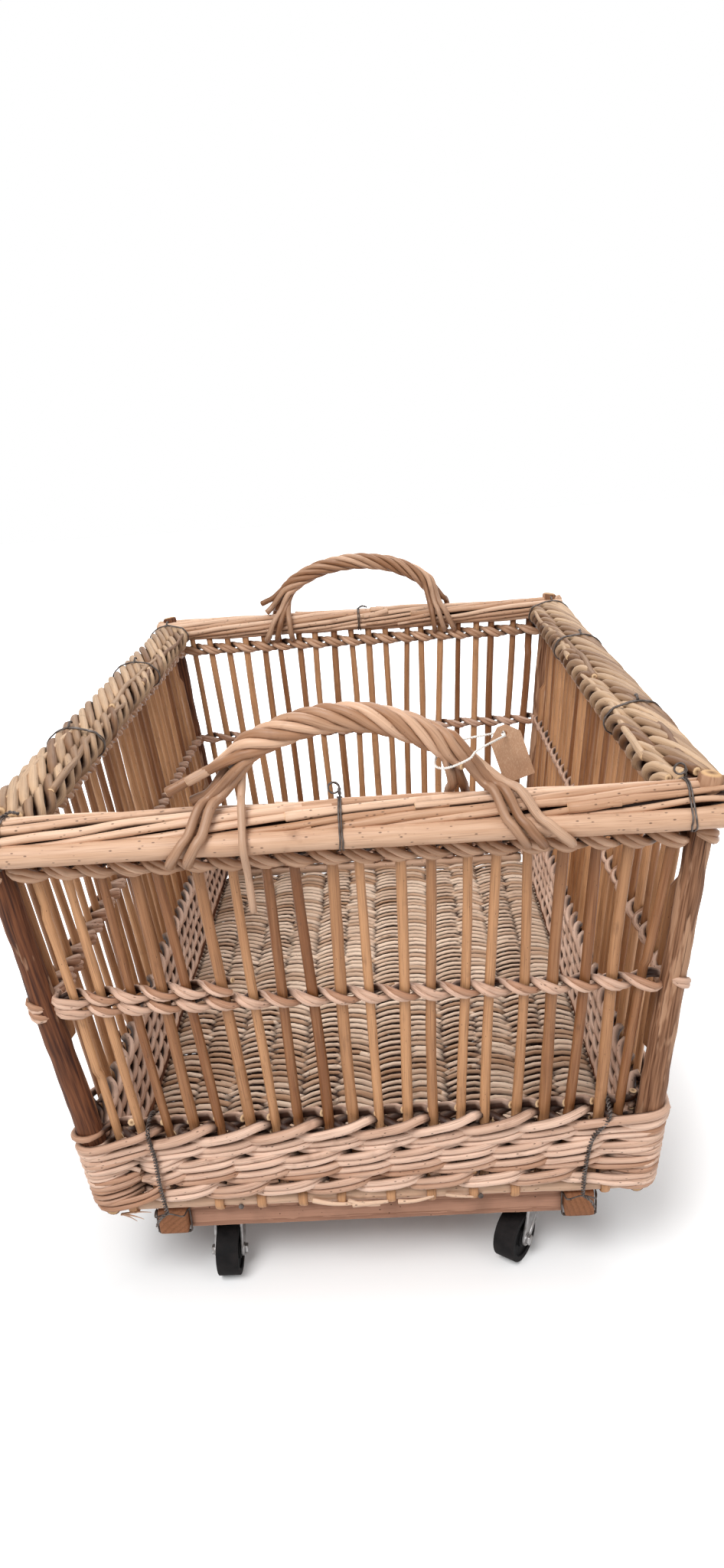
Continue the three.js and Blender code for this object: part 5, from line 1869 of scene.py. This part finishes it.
    @staticmethod
    def placed(pattern: Piece, name: str, turn: float, place: Vector) -> Piece:
        """Copies a pattern to its corner.

        Args:
            pattern: The piece as modelled at the origin.
            name: The copy's name.
            turn: Angle about the swivel's axis.
            place: Where the swivel's axis meets the ground.

        Returns:
            The copy, with its place in its mesh.
        """
        copy = pattern.copy()
        copy.data = pattern.data.copy()
        copy.name = copy.data.name = name
        bpy.context.scene.collection.objects.link(copy)
        copy.data.transform(Matrix.Translation(place) @ Matrix.Rotation(turn, 4, "Z"))
        return copy

    def build(self) -> None:
        """Builds the four casters."""
        patterns = {
            "caster_plate": (self.mounting(), BODY, "zinc_steel"),
            "caster_fork": (self.fork(), "swivel", "zinc_steel"),
            "caster_bolt": (self.bolt(), "swivel", "zinc_steel"),
            "caster_wheel": (self.wheel(), "wheel", "black_rubber"),
        }
        for corner, angle in zip(CORNERS, self.angles):
            place = solid(f"caster_plate_{corner}").middle
            place.z = 0.0
            for node, (pattern, body, slot) in patterns.items():
                turn = 0.0 if body == BODY else math.radians(angle)
                piece = self.placed(pattern, f"{node}_made_{corner}", turn, place)
                settle(piece, body if body == BODY else f"{body}_{corner}", slot, f"{node}_{corner}")
        for pattern, _, _ in patterns.values():
            bpy.data.objects.remove(pattern)


@dataclass
class WireTies:
    """Dark iron wire: loops round the rim and twisted ties that hold the basket to the rails.

    Attributes:
        lay: Length of one turn of a twisted pair.
        fitch_z: Height at which the rim ties' places are counted in bays.
        hook_z: Height of the hooks over the band, above its foot.
        reach: How far the band's face stands out from the stakes' axes.
        places: Where the rim ties are: rim, which of its ties, and bays from the wall's middle.
    """

    shell: Shell
    radius: float = 0.8 * MM
    lay: float = 7 * MM
    fitch_z: float = 492.1 * MM
    hook_z: float = 90 * MM
    reach: float = 15.4 * MM
    places: tuple = (
        ("front", "left", -10), ("front", "middle", 0), ("front", "right", 10), ("back", "middle", 0),
        ("left", "fore", -6), ("left", "mid", 5), ("left", "aft", 14),
        ("right", "fore", -7), ("right", "mid", 5), ("right", "aft", 14),
    )

    def around(self, pieces: Sequence[str], axis: int, at: float) -> Array:
        """Returns a closed route drawn tight round pieces at one place along them.

        Args:
            pieces: Names of the pieces.
            axis: The axis that they run along.
            at: The place on that axis.

        Returns:
            Points of the route, from the top.
        """
        near = []
        for name in pieces:
            mesh = bpy.data.objects[name].data
            corners = np.empty(len(mesh.vertices) * 3, np.float32)
            mesh.vertices.foreach_get("co", corners)
            corners = corners.reshape(-1, 3)
            near.append(corners[np.abs(corners[:, axis] - at) < 7 * MM])
        flat = np.vstack(near)[:, [1 - axis, 2]]
        turn = np.linspace(math.pi / 2, math.pi * 2.5, 65)
        ways = np.column_stack([np.cos(turn), np.sin(turn)])
        route = np.full((len(turn), 3), float(at))
        route[:, [1 - axis, 2]] = flat[(ways @ flat.T).argmax(axis=1)] + ways * self.radius
        moved = np.concatenate([[True], np.linalg.norm(np.diff(route, axis=0), axis=1) > 0.2 * MM])
        return route[moved]

    def twisted(self, stock: RodStock, route: Array, spread: float = 1.0) -> None:
        """Lays two wires twisted round each other along a route, more loosely where the spread is over 1."""
        line = spaced(route, 1.1 * MM)
        stock.twist(line, run_along(line) / self.lay, self.radius * spread, self.radius)

    def rim_tie(self, side: str, place: str, count: int) -> None:
        """Ties the rim at one place.

        Args:
            side: Which rim.
            place: Which of its ties.
            count: Bays from the wall's middle.
        """
        axis = 0 if side in dict(ENDS) else 1
        at = count * 2 * float(self.shell.half(self.fitch_z)[axis]) / self.shell.bays[axis]
        pieces = [f"rim_bundle_{side}", f"rim_pole_{side}"] if axis == 0 else [f"rim_plait_{side}"]
        stock = RodStock(f"wire_{side}_{place}", Finish.IRON, 6, 130 + count)
        ahead = np.eye(3)[axis]
        for shift in (-1.3 * MM, 1.2 * MM):
            loop = self.around(pieces, axis, at + shift)
            sway = eased(stock.random.normal(0, MM, len(loop)), 2)
            stock.lay(spaced(loop + sway[:, None] * ahead, 2.5 * MM), self.radius)
        top = self.around(pieces, axis, at)[0] + UP * self.radius
        if side == "front" and place != "left":
            self.eye(stock, top, ahead)
        else:
            tail = [top, top + ahead * 6 * MM + UP * 3 * MM, top + ahead * 13 * MM + UP * MM]
            self.twisted(stock, curved(tail, 2 * MM))
        stock.settle("iron_wire", f"tie_{side}_{place}")

    def eye(self, stock: RodStock, top: Array, ahead: Array) -> None:
        """Twists an eye on top of a tie.

        Args:
            stock: The piece that takes it.
            top: Where the wires meet on the rim.
            ahead: Direction along the rim.
        """
        self.twisted(stock, np.array([top, top + UP * 3 * MM, top + UP * 6.5 * MM]))
        turns = np.linspace(0, 4.4 * math.pi, 60)[:, None]
        centre = top + UP * 7 * MM - ahead * 4.5 * MM
        drift = np.linspace(-0.9 * MM, 0.9 * MM, 60)[:, None] * np.cross(ahead, UP)
        stock.lay(centre + 4.5 * MM * (np.cos(turns) * ahead + np.sin(turns) * UP) + drift, self.radius)

    def frame_tie(self, corner: str) -> None:
        """Ties the foot of a wall to a rail, at one corner."""
        end, side = corner.split("_")
        mirror = np.array([dict(SIDES)[side], dict(ENDS)[end], 1])
        rail, stick = solid("rail_right"), solid("base_stick_back")
        rail_x, (_, stick_y, stick_z), stick_r = rail.middle.x, stick.middle, stick.half[2]
        top = self.shell.foot_z + self.hook_z
        bay = 2 * float(self.shell.half(top)[0]) / self.shell.bays[0]
        lean = 22 * MM if corner == "front_right" else 3 * MM
        hook_x = round(rail_x / bay) * bay + lean
        clear = self.radius + 0.4 * MM
        split = stick_z - 2 * MM
        over = ((-9 * MM, -15 * MM), (2 * MM, -10 * MM), (3.4 * MM, 6 * MM), (-3 * MM, self.reach))
        hook = [(hook_x, float(self.shell.half(top)[1]) + out, top + up) for up, out in over]
        for x, z in ((hook_x - 0.1 * lean, top - 14 * MM), (hook_x - 0.7 * lean, top - 34 * MM),
                     (rail_x + 2 * MM, split + 34 * MM), (rail_x, split)):
            hook.append((x, float(self.shell.half(z)[1]) + self.reach, z))
        stock = RodStock(f"wire_frame_{corner}", Finish.IRON, 6, 140)
        self.twisted(stock, curved(np.array(hook) * mirror, 3 * MM), 1.9)
        side_x, foot = rail.high.x - rail_x + clear, rail.low.z - clear
        front, ring_y = stick_y + stick_r + 3 * clear, rail.high.y - 6 * MM
        down = [(0.35 * side_x, front, stick_z - 5 * MM),
                (0.85 * side_x, front - 3 * clear, stick_z - stick_r - 0.5 * MM),
                (side_x, ring_y, rail.high.z - 4 * MM), (side_x + 0.3 * MM, ring_y, foot + 5 * MM),
                (side_x - 3 * MM, ring_y, foot)]
        legs = [hook[-1], *((rail_x + x, y, z) for x, y, z in down),
                *((rail_x - x, y, z) for x, y, z in down[::-1]), hook[-1]]
        legs = np.array(legs) * mirror
        stock.lay(curved(legs, 2.5 * MM), self.radius)
        stock.lay(curved(legs[3:-3] - [0, mirror[1] * 2.2 * MM, 0], 2.5 * MM), self.radius)
        tail = legs[0] + np.array([(0, 0, 0), (7, 3, -4), (11, 4, -11)]) * MM * mirror
        self.twisted(stock, curved(tail, 1.5 * MM))
        stock.settle("iron_wire", f"frame_tie_{corner}")

    def build(self) -> None:
        """Builds the ties."""
        for place in self.places:
            self.rim_tie(*place)
        for corner in CORNERS:
            self.frame_tie(corner)


@dataclass
class Tag:
    """A bare kraft tag hung by a doubled string from the front handle.

    Attributes:
        height: Height of the paper under its shoulders.
        tilt: Turn about the Y axis, in radians.
        string: Radius of one ply of the string.
        lay: Length of one turn of the plies.
        leg: Middle of the handle's leg that the string goes round.
        reach: How far the string stands off the leg's middle.
        sag: How far it hangs below the hole.
        turns: Its way round the leg: shares of the reach along X and Y, and of the sag.
    """

    width: float = 26 * MM
    height: float = 42 * MM
    thickness: float = 0.8 * MM
    tilt: float = -0.3
    string: float = 0.55 * MM
    lay: float = 4.5 * MM
    hole: tuple = (135.06 * MM, -399.0 * MM, 570 * MM)
    leg: tuple = (98.0 * MM, -421.0 * MM, 562.5 * MM)
    reach: float = 13.6 * MM
    sag: float = 15 * MM
    turns: tuple = ((1, -0.3, 0.27), (0.4, -1, 0.53), (-0.8, -1, 0.93), (-1.5, -0.3, 1), (-1.2, 0.7, 0.6),
                    (0, 1.4, 0.2))

    def paper(self) -> Piece:
        """Cuts the tag with its clipped shoulders and a ring round the hole."""
        bench = Workbench("paper_tag", Finish.KRAFT)
        x, z = self.width / 2, -self.height
        sheet = bench.block(Vector((-x, 0, z)), Vector((x, self.thickness, 7 * MM)))
        switch("EDIT")
        bpy.ops.mesh.select_all(action="DESELECT")
        bpy.ops.mesh.select_mode(type="EDGE")
        switch("OBJECT")
        for edge in sheet.data.edges:
            ends = [sheet.data.vertices[k].co for k in edge.vertices]
            edge.select = abs(ends[0].y - ends[1].y) > 0.5 * self.thickness and ends[0].z > 0
        switch("EDIT")
        bpy.ops.mesh.bevel(offset=9.5 * MM, segments=1)
        switch("OBJECT")
        punch = bench.drum(2.4 * MM, 12 * MM, (0, 0, 0), "X", 24)
        punch.data.transform(Matrix.Rotation(math.pi / 2, 4, "Z"))
        deselect_all()
        activate(sheet)
        hole = sheet.modifiers.new("hole", "BOOLEAN")
        hole.operation, hole.object = "DIFFERENCE", punch
        bpy.ops.object.modifier_apply(modifier=hole.name)
        bpy.data.objects.remove(punch)
        deselect_all()
        bpy.ops.mesh.primitive_torus_add(major_radius=3.6 * MM, minor_radius=0.55 * MM, major_segments=32,
                                         minor_segments=8, location=(0, self.thickness / 2, 0),
                                         rotation=(math.pi / 2, 0, 0))
        tag = bench.finished(sheet, bench.take())
        switch("EDIT")
        for level in np.linspace(z + 4 * MM, 4 * MM, 10):
            bench.slice_up((0, 0, level), (0, 0, 1))
        switch("OBJECT")
        for corner in tag.data.vertices:
            hang = min(corner.co.z / z, 1.0) if corner.co.z < 0 else 0.0
            corner.co.y += 2.4 * MM * hang * hang * (1 + 0.5 * corner.co.x / x)
        tag.data.transform(Matrix.Translation(self.hole) @ Matrix.Rotation(self.tilt, 4, "Y"))
        return tag

    def loop(self) -> None:
        """Ties the string through the hole and round the handle's leg."""
        hole, leg = np.array(self.hole), self.leg
        near = hole + [0.0, -3.2 * MM, -0.8 * MM]
        route = [near]
        route += [(leg[0] + self.reach * x, leg[1] + self.reach * y, hole[2] - self.sag * drop)
                  for x, y, drop in self.turns]
        route += [hole + [-3.2 * MM, 3.2 * MM, 0.0], hole + [0.0, 0.0, -0.6 * MM], near]
        line = spaced(curved(route, MM), 0.8 * MM)
        stock = RodStock("white_tie_string", Finish.STRING, 6, 150)
        stock.twist(line, np.arange(len(line)) * 0.8 * MM / self.lay, self.string, self.string * 1.05)
        stock.settle("cotton_string", "tag_string")

    def build(self) -> None:
        """Builds the tag and its string."""
        settle(self.paper(), BODY, "kraft_paper", "tag")
        self.loop()


@dataclass
class Studio:
    """The camera, lamps, floor and backdrop.

    Attributes:
        pitch: Degrees that it looks down.
        yaw: Degrees that it turns to the left.
        roll: Degrees that it leans.
        focal: Focal length in pixels of the photograph's frame.
        frame_height: Height of that frame in pixels.
        sensor: Height of the sensor, in Blender's millimetres.
        aim: What the lamps point at.
        lamps: Each lamp's name, place, size and power.
        sky: Colour of the light from all round.
        white: Colour of the backdrop.
        ground_size: Size of the floor.
        ground: Colour of the floor.
        footprint: Half sizes of the part of it that keeps the shade.
        fade: Where its glow starts and is full, in metres beyond that part.
        glow: Its least and its full glow.
    """

    place: tuple = (49.06 * MM, -1219.27 * MM, 826.96 * MM)
    pitch: float = 19.64
    yaw: float = 2.19
    roll: float = -4.09
    focal: float = 1386.0
    frame_height: int = 2048
    sensor: float = 36.0
    aim: tuple = (0, 0, 0.3)
    lamps: tuple = (("key", (-0.9, -1.9, 2.7), 1.5, 84), ("fill", (1.9, -1.2, 1.6), 2.2, 17),
                    ("back", (0.3, 1.7, 2.6), 2.2, 46))
    sky: tuple = (0.97, 0.98, 1.0, 1.0)
    sky_strength: float = 0.26
    white: tuple = (1.0, 1.0, 1.0, 1.0)
    ground_size: float = 14.0
    ground: tuple = (0.86, 0.86, 0.86, 1.0)
    ground_roughness: float = 0.9
    footprint: tuple = (0.27, 0.38)
    fade: tuple = (-0.12, 0.5)
    glow: tuple = (0.02, 1.2)

    def set_camera(self) -> None:
        """Sets up the camera."""
        deselect_all()
        bpy.ops.object.camera_add(location=self.place)
        camera = bpy.context.object
        camera.name = "photo_camera"
        turn = (Matrix.Rotation(math.radians(self.yaw), 3, "Z")
                @ Matrix.Rotation(math.radians(90 - self.pitch), 3, "X")
                @ Matrix.Rotation(math.radians(self.roll), 3, "Z"))
        camera.rotation_euler = turn.to_euler()
        camera.data.sensor_fit = "VERTICAL"
        camera.data.sensor_height = self.sensor
        camera.data.lens = self.focal / self.frame_height * self.sensor
        bpy.context.scene.camera = camera

    def hang_lamps(self) -> None:
        """Hangs soft lamps and sets the world."""
        for name, place, size, power in self.lamps:
            bpy.ops.object.light_add(type="AREA", location=place)
            lamp = bpy.context.object
            lamp.name = f"{name}_lamp"
            lamp.data.size = size
            lamp.data.energy = power
            lamp.rotation_euler = (Vector(self.aim) - Vector(place)).to_track_quat("-Z", "Y").to_euler()
        world = bpy.context.scene.world = bpy.data.worlds.new("studio")
        art = Sketch(world)
        light = art.tree.nodes["Background"]
        light.inputs["Color"].default_value = self.sky
        light.inputs["Strength"].default_value = self.sky_strength
        white = art.node("Background", {"Color": self.white})
        self.show_white(art, light, white, "World Output")

    @staticmethod
    def show_white(art: Sketch, lit: bpy.types.Node, plain: bpy.types.Node, output: str) -> None:
        """Joins the two shaders of the world.

        Args:
            art: Node tree of the world.
            lit: Shader that lights the basket.
            plain: White shader for the camera, gloss and glass.
            output: The world's output.
        """
        rays = art.node("LightPath", {}).outputs
        seen = art.maths("MAXIMUM", rays["Is Camera Ray"], rays["Is Glossy Ray"])
        seen = art.maths("MAXIMUM", seen, rays["Is Transmission Ray"])
        shown = art.node("MixShader", {0: seen, 1: lit.outputs[0], 2: plain.outputs[0]})
        art.feed(art.tree.nodes[output].inputs["Surface"], shown.outputs[0])

    def lay_ground(self) -> None:
        """Lays the pale floor: little glow under the basket, full white away from it."""
        deselect_all()
        bpy.ops.mesh.primitive_plane_add(size=self.ground_size, location=(0, 0, 0))
        floor = bpy.context.object
        floor.name = "studio_floor"
        art = Sketch(bpy.data.materials.new("studio_white"))
        art.finish(self.ground, self.ground_roughness)
        split = art.node("SeparateXYZ", {0: art.coordinates("Object")})
        beyond = [art.less(art.maths("ABSOLUTE", split.outputs[axis]), half)
                  for axis, half in enumerate(self.footprint)]
        reach = {"Value": art.maths("MAXIMUM", *beyond), "From Min": self.fade[0],
                 "From Max": self.fade[1], "To Min": self.glow[0], "To Max": self.glow[1]}
        strength = art.node("MapRange", reach, interpolation_type="SMOOTHSTEP").outputs["Result"]
        glow = art.node("Emission", {"Strength": strength})
        both = art.node("AddShader", {0: art.shader.outputs[0], 1: glow.outputs[0]})
        self.show_white(art, art.shader, both, "Material Output")
        floor.data.materials.append(art.owner)

    def build(self) -> None:
        """Builds the studio."""
        self.set_camera()
        self.hang_lamps()
        self.lay_ground()
        bpy.context.scene.view_settings.view_transform = "Standard"


def main() -> None:
    """Builds the scene."""
    logging.basicConfig(level=logging.INFO, format="%(message)s")
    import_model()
    shell = Shell()
    front_handle = Handle("front", -1, arch=FRONT_ARCH, feet=FRONT_FEET)
    for part in (Studio(), Walls(shell), Base(), Rim(), Handle("back", 1), front_handle, Trolley(), Caster(),
                 WireTies(shell), Tag()):
        part.build()


if __name__ == "__main__":
    main()
